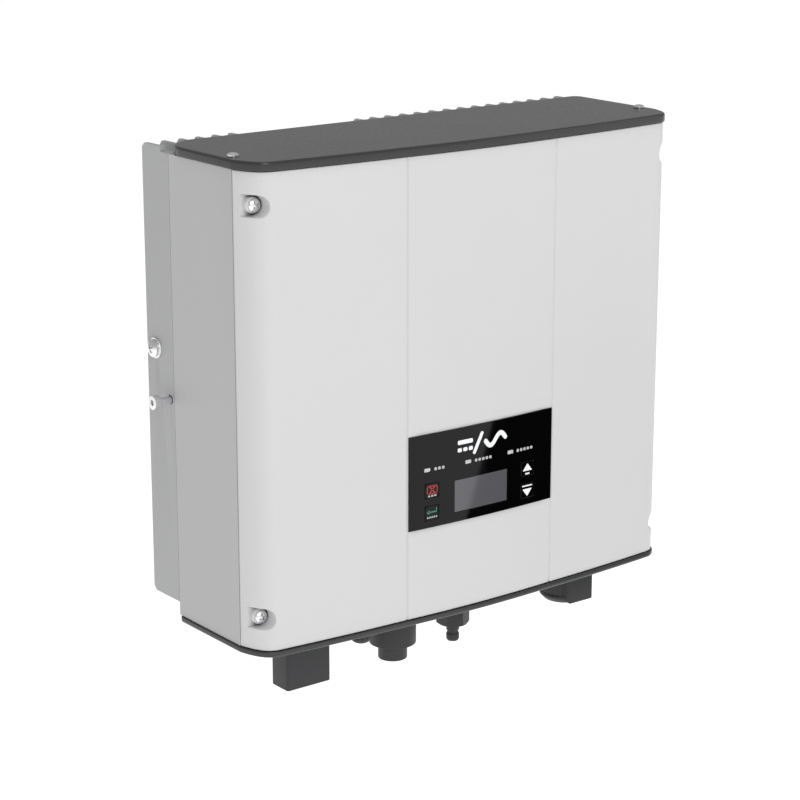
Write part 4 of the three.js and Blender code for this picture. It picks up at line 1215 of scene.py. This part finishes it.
def arrow_up(size):
    """A triangle with soft corners that points up."""
    return rounded([(-size / 2, -size * 0.28), (size / 2, -size * 0.28), (0, size * 0.36)], size * 0.07, 3,
                   closed=True)


def label_blocks(width, height, count, at):
    """A row of short blocks that stands where a label is."""
    pitch = width / count
    first = at[0] - (count - 1) / 2 * pitch
    return [bar_sign(pitch * 0.68, height, (first + i * pitch, at[1])) for i in range(count)]


def conversion_sign():
    """The general sign for turning direct into alternating current: a bar over three dashes, a slash and a
    wave."""
    dashes = [bar_sign(2.9, 2.3, (-16.2 + i * 3.9, -2.2)) for i in range(3)]
    slash = stroke(np.array([(-5.8, -5.2), (-0.4, 5.2)]), 2.2)
    return [bar_sign(10.7, 2.5, (-12.3, 2.2)), *dashes, slash, wave(14.5, 6.2, 2.7) + (9.6, 0)]


def key_signs():
    """The sign and the label of each key, with their inks."""
    cross = [stroke(np.array([(-1.5, -1.1), (1.5, 1.9)]), 0.75),
             stroke(np.array([(-1.5, 1.9), (1.5, -1.1)]), 0.75)]
    back = [stroke(np.array([(3.0, 2.4), (3.0, 0.6), (-2.4, 0.6)]), 0.7),
            rounded([(-3.9, 0.6), (-1.9, -0.7), (-1.9, 1.9)], 0.2, 3, closed=True)]
    return {
        "key_escape": [("red_ink", [*cross, *bar_frame(7.6, 4.9, 0.6, (0, 0.4))]),
                       ("pale_ink", label_blocks(6.4, 1.0, 3, (0, -3.1)))],
        "key_enter": [("green_ink", back), ("pale_ink", label_blocks(7.6, 1.0, 5, (0, -2.4)))],
        "key_up": [("white_ink", [arrow_up(7) + (0, 0.7), bar_sign(3.2, 0.9, (0, -3.0))])],
        "key_down": [("white_ink", [-arrow_up(7) + (0, -0.9), bar_sign(7.4, 0.8, (0, 2.9))])],
    }


def bar_frame(width, height, weight, at):
    """A rectangle of four bars."""
    x, y = (width - weight) / 2, (height - weight) / 2
    return [bar_sign(width, weight, (at[0], at[1] + y)), bar_sign(width, weight, (at[0], at[1] - y)),
            bar_sign(weight, height, (at[0] - x, at[1])), bar_sign(weight, height, (at[0] + x, at[1]))]


def ink_surface(outlines, place_x, place_z, front):
    """Outlines printed at a place: each is a thin slab, and front(x) says where its ground is."""
    surface = Surface()
    raised, sunk = sizes().ink, 0.08 * MM
    for outline in outlines:
        flat = np.asarray(outline) * MM + (place_x, place_z)
        y = front(flat[:, 0])
        rows = np.stack([np.stack([flat[:, 0], y + depth, flat[:, 1]], -1) for depth in (sunk, -raised)])
        surface.grid(rows, wrap=True, close=(True, True))
    return surface


class INVERTER_OT_signs(Operator):
    """Prints the signs on the film and the keys"""
    bl_idname = "inverter.signs"
    bl_label = "Printed signs"

    def execute(self, context):
        film_x, _, film_z = centre("display_overlay")
        film_front = lambda x: front_y(x) - sizes().film_proud
        mark = ink_surface(conversion_sign(), film_x - 1 * MM, film_z + 16.6 * MM, film_front)
        add_piece("conversion_sign", mark.mesh("conversion_sign", True), "white_ink", "display_overlay",
                  slot="lamp_lens")
        for node, blocks in zip(LAMPS, (3, 5, 5)):
            width = 2.6 * blocks
            x, _, z = centre(node)
            label = ink_surface(label_blocks(width, 1.7, blocks, (4.2 + width / 2, 0)), x, z, film_front)
            add_piece(f"{node}_label", label.mesh(node, True), "pale_ink", "display_overlay",
                      slot="lamp_lens")
        for node, signs in key_signs().items():
            x, _, z = centre(node)
            face = BOX[node][0, 1]
            for ink, outlines in signs:
                sign = ink_surface(outlines, x, z, lambda at: np.full_like(at, face))
                name = f"{node}_{ink.split('_')[0]}_sign"
                add_piece(name, sign.mesh(name, True), ink, node, slot="lamp_lens")
        return {"FINISHED"}


# ---- isolator ----

def add_parts(node, finish, parts, crease=38):
    """Stands several closed grids for one node. Each is (points, closed at the first row, closed at the
    last)."""
    surface = Surface()
    for points, first, last in parts:
        surface.grid(points, wrap=True, close=(first, last))
    return stand_in(node, surface, finish, crease=crease)


def ribbed(count, depth, low, high, sharp=2):
    """A radius cut by upright ribs between two heights."""
    def shape(radius, angle, height):
        """The radius, less a power of a cosine of the angle between the two heights."""
        rib = (0.5 + 0.5 * np.cos(count * angle)) ** sharp
        within = (height > low) & (height < high)
        return radius - depth * rib * within
    return shape


class INVERTER_OT_isolator(Operator):
    """Makes the isolator's handle, shaft and body"""
    bl_idname = "inverter.isolator"
    bl_label = "Isolator"

    def execute(self, context):
        low, high = BOX["isolator_handle"]
        x, y, _ = centre("isolator_handle")
        boss_radius = (high - low)[0] / 2
        tall = high[2] - low[2]
        boss_tall = 10.3 * MM
        skirt = rounded([(0, 0), (boss_radius, 0), (boss_radius, 2.2 * MM), (boss_radius * 0.96, 2.6 * MM),
                         (boss_radius * 0.92, boss_tall), (0, boss_tall)], 0.6 * MM, 4)
        boss = placed(turned(skirt, 144, ribbed(36, 0.5 * MM, -1, 2.2 * MM)), (x, y, high[2]), DOWN)
        s = sizes()
        grip_outline = rectangle(s.grip_length, s.grip_width, s.grip_corner, 6)
        foot = 6 * MM
        pointer_thick, pointer_proud = 0.3 * MM, 0.1 * MM
        end = tall - pointer_proud
        grip_edge = rounded([(0, foot), (0, end), (1.4 * MM, end)], 0.7 * MM, 5)
        grip = placed(slab(grip_outline, grip_edge), (x, y, high[2]), DOWN)
        add_parts("isolator_handle", "black_plastic", [(boss, False, False), (grip, True, True)])
        pointer = slab(bar_sign(8, 1.4, (8.5, 0)) * MM, [(0, 0), (0, pointer_thick)])
        mark = Surface().grid(placed(pointer, (x, y, low[2] + pointer_thick), DOWN), wrap=True,
                              close=(True, True))
        add_piece("handle_pointer", mark.mesh("handle_pointer", True), "white_ink", "isolator_handle",
                  slot="lamp_lens")
        use_node("isolator_shaft", "zinc_plate")
        softened_copy("isolator_body", "black_plastic", 0.6 * MM)
        return {"FINISHED"}


# ---- glands and receptacles ----

def hex_shape(flats, chamfer_low, chamfer_high, slope=0.5):
    """A hexagon whose corners are turned off by cones below one height and above another."""
    def shape(radius, angle, height):
        """The least of the radius, the hexagon and the two cones."""
        corner = flats / math.sqrt(3)
        low_cone = corner - np.clip(chamfer_low - height, 0, None) / slope
        high_cone = corner - np.clip(height - chamfer_high, 0, None) / slope
        limit = np.minimum(np.minimum(low_cone, high_cone), hexagon(angle, flats))
        return np.minimum(radius, limit)
    return shape


def hex_angles(extra=6):
    """Angles that include a hexagon's corners."""
    return np.linspace(0, math.tau, 6 * 2 * extra, endpoint=False)


def hex_bar(flats, low, high, rows=7):
    """A hexagon bar with chamfered ends."""
    corner = flats / math.sqrt(3)
    chamfer = (corner - flats / 2) * 0.5
    heights = np.concatenate([np.linspace(low, low + chamfer, rows),
                              np.linspace(high - chamfer, high, rows)])
    profile = [(0, low), *[(corner, h) for h in heights], (0, high)]
    return turned(profile, angles=hex_angles(), shape=hex_shape(flats, low + chamfer, high - chamfer))


class INVERTER_OT_glands(Operator):
    """Makes the signal gland with its cap, and the vent plug"""
    bl_idname = "inverter.glands"
    bl_label = "Gland and vent"

    def execute(self, context):
        under = BOX["bottom_plate"][0, 2]
        x, y, _ = centre("signal_gland")
        body = BOX["signal_gland"]
        flats = 17 * MM
        hexes = placed(hex_bar(flats, 0, 5 * MM), (x, y, under - 0.3 * MM), DOWN)
        thread = rounded([(0, -(body[1, 2] - under)), (5.5 * MM, -(body[1, 2] - under)),
                          (5.5 * MM, under - body[0, 2]), (0, under - body[0, 2])], 0.4 * MM, 3)
        add_parts("signal_gland", "black_plastic",
                  [(hexes, False, False), (placed(turned(thread), (x, y, under), DOWN), False, False)])
        cap = BOX["gland_cap"]
        tall = cap[1, 2] - cap[0, 2]
        radius = extent("gland_cap")[0] / 2
        dome = rounded([(0, 0), (radius, 0), (radius, tall * 0.5), (radius * 0.8, tall * 0.86), (0, tall)],
                       (0.5 * MM, 2 * MM, 2.5 * MM), 8)
        crown = turned(dome, 120, ribbed(12, 0.5 * MM, 0.8 * MM, tall * 0.55, 3))
        add_parts("gland_cap", "black_plastic", [(placed(crown, (x, y, cap[1, 2]), DOWN), False, False)])
        vent = BOX["vent_plug"]
        vx, vy, _ = centre("vent_plug")
        vr = extent("vent_plug")[0] / 2
        drop = under - vent[0, 2]
        thread_top, thread_radius, gap = -5 * MM, 4 * MM, 0.3 * MM
        profile = rounded([(0, thread_top), (thread_radius, thread_top), (thread_radius, gap), (vr, gap),
                           (vr, 5 * MM), (vr * 0.93, drop * 0.9), (0, drop)],
                          (0.2 * MM, 0.2 * MM, 0.5 * MM, 0.8 * MM, 1.6 * MM), 5)
        plug = turned(profile, 96, ribbed(8, 0.45 * MM, 1.2 * MM, 5 * MM, 4))
        add_parts("vent_plug", "black_plastic", [(placed(plug, (vx, vy, under), DOWN), False, False)])
        return {"FINISHED"}


class INVERTER_OT_receptacles(Operator):
    """Makes the two string receptacles and their nuts"""
    bl_idname = "inverter.receptacles"
    bl_label = "String receptacles"

    def execute(self, context):
        under = BOX["bottom_plate"][0, 2]
        self.add_wide(under)
        self.add_narrow(under)
        for node in ("pv_plus_nut", "pv_minus_nut"):
            softened_copy(node, "black_plastic", 0.3 * MM)
        return {"FINISHED"}

    def add_wide(self, under):
        """The wide receptacle: collar with grip ribs, a shoulder, the nose with its socket, and the pin."""
        x, y, _ = centre("pv_plus_receptacle")
        low, high = BOX["pv_plus_receptacle"]
        radius, drop, rise = (high - low)[0] / 2, under - low[2], high[2] - under
        nose, socket, deep = 8.6 * MM, 5.4 * MM, 16 * MM
        collar = drop - 9.5 * MM
        profile = rounded([(0, -rise), (8 * MM, -rise), (8 * MM, 0.3 * MM), (radius, 0.3 * MM),
                           (radius, 6 * MM), (radius * 0.965, 6.6 * MM), (radius * 0.965, 7.6 * MM),
                           (radius, 8.2 * MM), (radius, collar), (nose, collar), (nose, drop),
                           (socket, drop), (socket, drop - deep), (0, drop - deep)], 0.45 * MM, 4)
        body = turned(profile, 160, ribbed(20, 0.7 * MM, 8.9 * MM, collar - 0.9 * MM, 3))
        root, tip = drop - deep - 1 * MM, drop - 5 * MM
        pin = turned(rounded([(0, root), (2 * MM, root), (2 * MM, tip - 0.4 * MM), (1.2 * MM, tip),
                              (0, tip)], 0.3 * MM, 3), 32)
        parts = [(placed(points, (x, y, under), DOWN), False, False) for points in (body, pin)]
        add_parts("pv_plus_receptacle", "black_plastic", parts)

    def add_narrow(self, under):
        """The narrow receptacle: hexagon, neck with two latch steps, and the nose with its bore."""
        x, y, _ = centre("pv_minus_receptacle")
        low, high = BOX["pv_minus_receptacle"]
        drop, rise = under - low[2], high[2] - under
        flats = extent("pv_minus_receptacle")[1]
        nose, bore, neck = 3.9 * MM, 2.2 * MM, 5 * MM
        profile = rounded([(0, -rise), (neck, -rise), (neck, drop - 13 * MM), (nose, drop - 12 * MM),
                           (nose, drop - 7 * MM), (nose * 0.88, drop - 6.4 * MM),
                           (nose * 0.88, drop - 5 * MM), (nose, drop - 4.4 * MM),
                           (nose, drop - 1.2 * MM), (nose * 0.82, drop), (bore, drop),
                           (bore, drop - 14 * MM), (0, drop - 14 * MM)], 0.25 * MM, 4)
        hexes = hex_bar(flats, 0.3 * MM, drop - 11 * MM)
        parts = [(placed(points, (x, y, under), DOWN), False, False)
                 for points in (turned(profile, 64), hexes)]
        add_parts("pv_minus_receptacle", "black_plastic", parts)


class INVERTER_OT_grid_connector(Operator):
    """Makes the grid connector and its dust cap"""
    bl_idname = "inverter.grid_connector"
    bl_label = "Grid connector"

    def execute(self, context):
        under = BOX["bottom_plate"][0, 2] - 0.3 * MM
        x, y, _ = centre("ac_connector")
        low, high = BOX["ac_connector"]
        flange_thick = 3 * MM
        wide = (high - low)[0]
        flange = slab(rectangle(wide, wide, 4 * MM, 8), soft_edge(0, flange_thick, 0.3 * MM, 0.8 * MM))
        barrel = rounded([(0, under - high[2]), (10.5 * MM, under - high[2]), (10.5 * MM, under - low[2]),
                          (0, under - low[2])], 0.5 * MM, 4)
        parts = [(placed(flange, (x, y, under), DOWN), True, True),
                 (placed(turned(barrel), (x, y, under), DOWN), False, False)]
        add_parts("ac_connector", "black_plastic", parts)
        self.add_cap(x, y)
        return {"FINISHED"}

    def add_cap(self, x, y):
        """The dust cap: a ribbed round body, hollow above, with a flat pad on its front."""
        low, high = BOX["ac_dust_cap"]
        radius, tall = (high - low)[0] / 2, high[2] - low[2]
        hollow, roof = 10.8 * MM, tall - 10.5 * MM
        profile = rounded([(0, roof), (hollow, roof), (hollow, 0), (radius, 0), (radius, 3 * MM),
                           (radius * 0.975, 3.5 * MM), (radius * 0.975, tall - 5 * MM),
                           (radius, tall - 4.5 * MM),
                           (radius, tall - 3 * MM), (radius - 3 * MM, tall), (radius - 5.5 * MM, tall),
                           (radius - 6 * MM, tall - 0.6 * MM), (0, tall - 0.6 * MM)], 0.5 * MM, 4)
        body = turned(profile, 160, ribbed(32, 0.45 * MM, 3.7 * MM, tall - 5.2 * MM))
        pad_y = y - radius + 2 * MM
        outline = rectangle(18.5 * MM, 7 * MM, 1.2 * MM, 6)
        pad = slab(outline, soft_edge(3.7 * MM, tall - 1.5 * MM, 0.8 * MM, 0.8 * MM))
        add_parts("ac_dust_cap", "black_plastic",
                  [(placed(body, (x, y, high[2]), DOWN), False, False),
                   (placed(pad, (x, pad_y, high[2]), DOWN), True, True)])


# ---- what is inside ----

INSIDE = {
    "display_board": ("board_laminate", 0.15), "power_board": ("board_laminate", 0.2),
    "control_board": ("board_laminate", 0.15), "lcd_module": ("module_plastic", 0.4),
    "boost_module": ("module_plastic", 0.5), "bridge_module": ("module_plastic", 0.5),
    "clamp_bar": ("zinc_plate", 0.3), "thermal_pad": ("thermal_film", 0.1),
    "dc_link_capacitor_1": ("capacitor_sleeve", 0.3), "dc_link_capacitor_2": ("capacitor_sleeve", 0.3),
    "dc_link_capacitor_3": ("capacitor_sleeve", 0.3), "boost_inductor": ("ferrite", 0.6),
    "filter_inductor": ("ferrite", 0.6), "emi_choke": ("copper_wire", 0.8),
    "grid_relay_1": ("relay_plastic", 0.6), "grid_relay_2": ("relay_plastic", 0.6),
    "dc_terminal_block": ("terminal_plastic", 0.5), "ac_terminal_block": ("terminal_plastic", 0.5),
}


class INVERTER_OT_inside(Operator):
    """Makes the boards and the power electronics"""
    bl_idname = "inverter.inside"
    bl_label = "Boards and electronics"

    def execute(self, context):
        for node, (finish, edge) in INSIDE.items():
            softened_copy(node, finish, edge * MM)
        return {"FINISHED"}


# ---- stage ----

def area_light(name, place, aim, size, power, tint=(1, 1, 1)):
    """A soft rectangular light that looks at a point."""
    light = bpy.data.lights.new(name, "AREA")
    light.shape = "RECTANGLE"
    light.size, light.size_y = size
    light.energy = power
    light.color = tint
    lamp = bpy.data.objects.new(name, light)
    lamp.location = place
    lamp.rotation_euler = (Vector(aim) - Vector(place)).to_track_quat("-Z", "Y").to_euler()
    bpy.context.scene.collection.objects.link(lamp)
    return lamp


class INVERTER_OT_stage(Operator):
    """Makes the floor, the lights and the camera"""
    bl_idname = "inverter.stage"
    bl_label = "Stage"
    CARD = [(0.471, -0.542, -0.11), (0.887, -0.103, -0.46), (0.674, -0.157, -0.787), (0.258, -0.597, -0.436)]

    def execute(self, context):
        stage = context.scene.inverter_stage
        self.add_floor(CAD_BOX[0][2] - stage.floor_drop)
        self.add_world(context.scene, stage.world)
        aim = tuple(stage.aim)
        area_light("key", (-0.9, -2.5, 1.4), aim, (1.2, 1.2), stage.key)
        area_light("fill", (2.1, -1.6, 0.9), aim, (1.2, 1.6), stage.fill)
        area_light("top", (-0.38, -0.68, 2.0), (0, 0, 0), (0.5, 0.5), stage.top)
        self.add_card()
        self.add_camera(context.scene, stage)
        return {"FINISHED"}

    def add_floor(self, level):
        """A pale floor that can be seen from above only."""
        reach = 14
        corners = [(-reach, -reach, level), (reach, -reach, level),
                   (reach, reach, level), (-reach, reach, level)]
        mesh = bpy.data.meshes.new("floor")
        mesh.from_pydata(corners, [], [(0, 1, 2, 3)])
        floor = bpy.data.objects.new("floor", mesh)
        bpy.context.scene.collection.objects.link(floor)
        finish = Finish("floor", Specular_IOR_Level=0.1, Roughness=0.9, Emission_Color=(1, 1, 1),
                        Emission_Strength=bpy.context.scene.inverter_stage.glow)
        cloud = finish.noise(1.5, 2)
        finish.colour(finish.blend(cloud, (0.93, 0.93, 0.93), (0.95, 0.95, 0.95)))
        nodes, links = finish.tree.nodes, finish.tree.links
        back = finish.node("ShaderNodeNewGeometry", {}, {}, "Backfacing")
        mix, clear = nodes.new("ShaderNodeMixShader"), nodes.new("ShaderNodeBsdfTransparent")
        links.new(back.socket, mix.inputs[0])
        links.new(finish.shader.outputs[0], mix.inputs[1])
        links.new(clear.outputs[0], mix.inputs[2])
        links.new(mix.outputs[0], nodes["Material Output"].inputs[0])
        mesh.materials.append(finish.material)

    def add_card(self):
        """A dark card to the right of the front, which only shows in what polished faces reflect."""
        mesh = bpy.data.meshes.new("card")
        mesh.from_pydata(self.CARD, [], [(0, 1, 2, 3)])
        card = bpy.data.objects.new("card", mesh)
        bpy.context.scene.collection.objects.link(card)
        finish = Finish("card", Specular_IOR_Level=0.0, Roughness=1.0)
        finish.colour(finish.blend(finish.noise(4, 1), (0.004, 0.004, 0.004), (0.008, 0.008, 0.008)))
        mesh.materials.append(finish.material)
        for ray in ("camera", "diffuse", "shadow", "transmission", "volume_scatter"):
            setattr(card, f"visible_{ray}", False)

    def add_world(self, scene, strength):
        """Even white light from all round."""
        world = bpy.data.worlds.new("studio")
        world.use_nodes = True
        ground = world.node_tree.nodes["Background"]
        ground.inputs["Color"].default_value = (1, 1, 1, 1)
        ground.inputs["Strength"].default_value = strength
        scene.world = world
        scene.view_settings.view_transform = "Standard"

    def add_camera(self, scene, stage):
        """A camera that looks at the aim from its azimuth and elevation."""
        a, e = stage.azimuth, stage.elevation
        back = Vector((math.sin(a) * math.cos(e), -math.cos(a) * math.cos(e), math.sin(e)))
        data = bpy.data.cameras.new("camera")
        data.lens = stage.lens
        data.sensor_width = 36
        camera = bpy.data.objects.new("camera", data)
        camera.location = Vector(stage.aim) + back * stage.distance
        camera.rotation_euler = (-back).to_track_quat("-Z", "Y").to_euler()
        scene.collection.objects.link(camera)
        scene.camera = camera


# ---- the add-on ----

PIECES = (INVERTER_OT_cover, INVERTER_OT_plates, INVERTER_OT_case, INVERTER_OT_heat_sink,
          INVERTER_OT_bracket, INVERTER_OT_screws, INVERTER_OT_display, INVERTER_OT_keys,
          INVERTER_OT_signs, INVERTER_OT_isolator, INVERTER_OT_glands, INVERTER_OT_receptacles,
          INVERTER_OT_grid_connector, INVERTER_OT_inside, INVERTER_OT_stage)


class VIEW3D_PT_inverter(Panel):
    """Lists what makes the inverter, with its sizes and colours"""
    bl_label = "String inverter"
    bl_space_type = "VIEW_3D"
    bl_region_type = "UI"
    bl_category = "Inverter"

    def draw(self, context):
        for piece in PIECES:
            self.layout.operator(piece.bl_idname)
        for group in (getattr(context.scene, title) for title in GROUPS):
            box = self.layout.box()
            for title in group.bl_rna.properties.keys():
                if title not in ("rna_type", "name"):
                    box.prop(group, title)


GROUPS = {"inverter_sizes": InverterSizes, "inverter_colours": InverterColours,
          "inverter_stage": InverterStage}


def register():
    """Registers the groups, the operators and the panel."""
    for group in GROUPS.values():
        bpy.utils.register_class(group)
    for title, group in GROUPS.items():
        setattr(bpy.types.Scene, title, PointerProperty(type=group))
    for piece in (*PIECES, VIEW3D_PT_inverter):
        bpy.utils.register_class(piece)


def unregister():
    """Takes them all back, last first."""
    for piece in (VIEW3D_PT_inverter, *reversed(PIECES)):
        bpy.utils.unregister_class(piece)
    for title in GROUPS:
        delattr(bpy.types.Scene, title)
    for group in reversed(GROUPS.values()):
        bpy.utils.unregister_class(group)


def main():
    """Makes every piece and the stage."""
    register()
    make_finishes()
    for piece in PIECES:
        group, _, action = piece.bl_idname.partition(".")
        getattr(getattr(bpy.ops, group), action)()


if __name__ == "__main__":
    main()
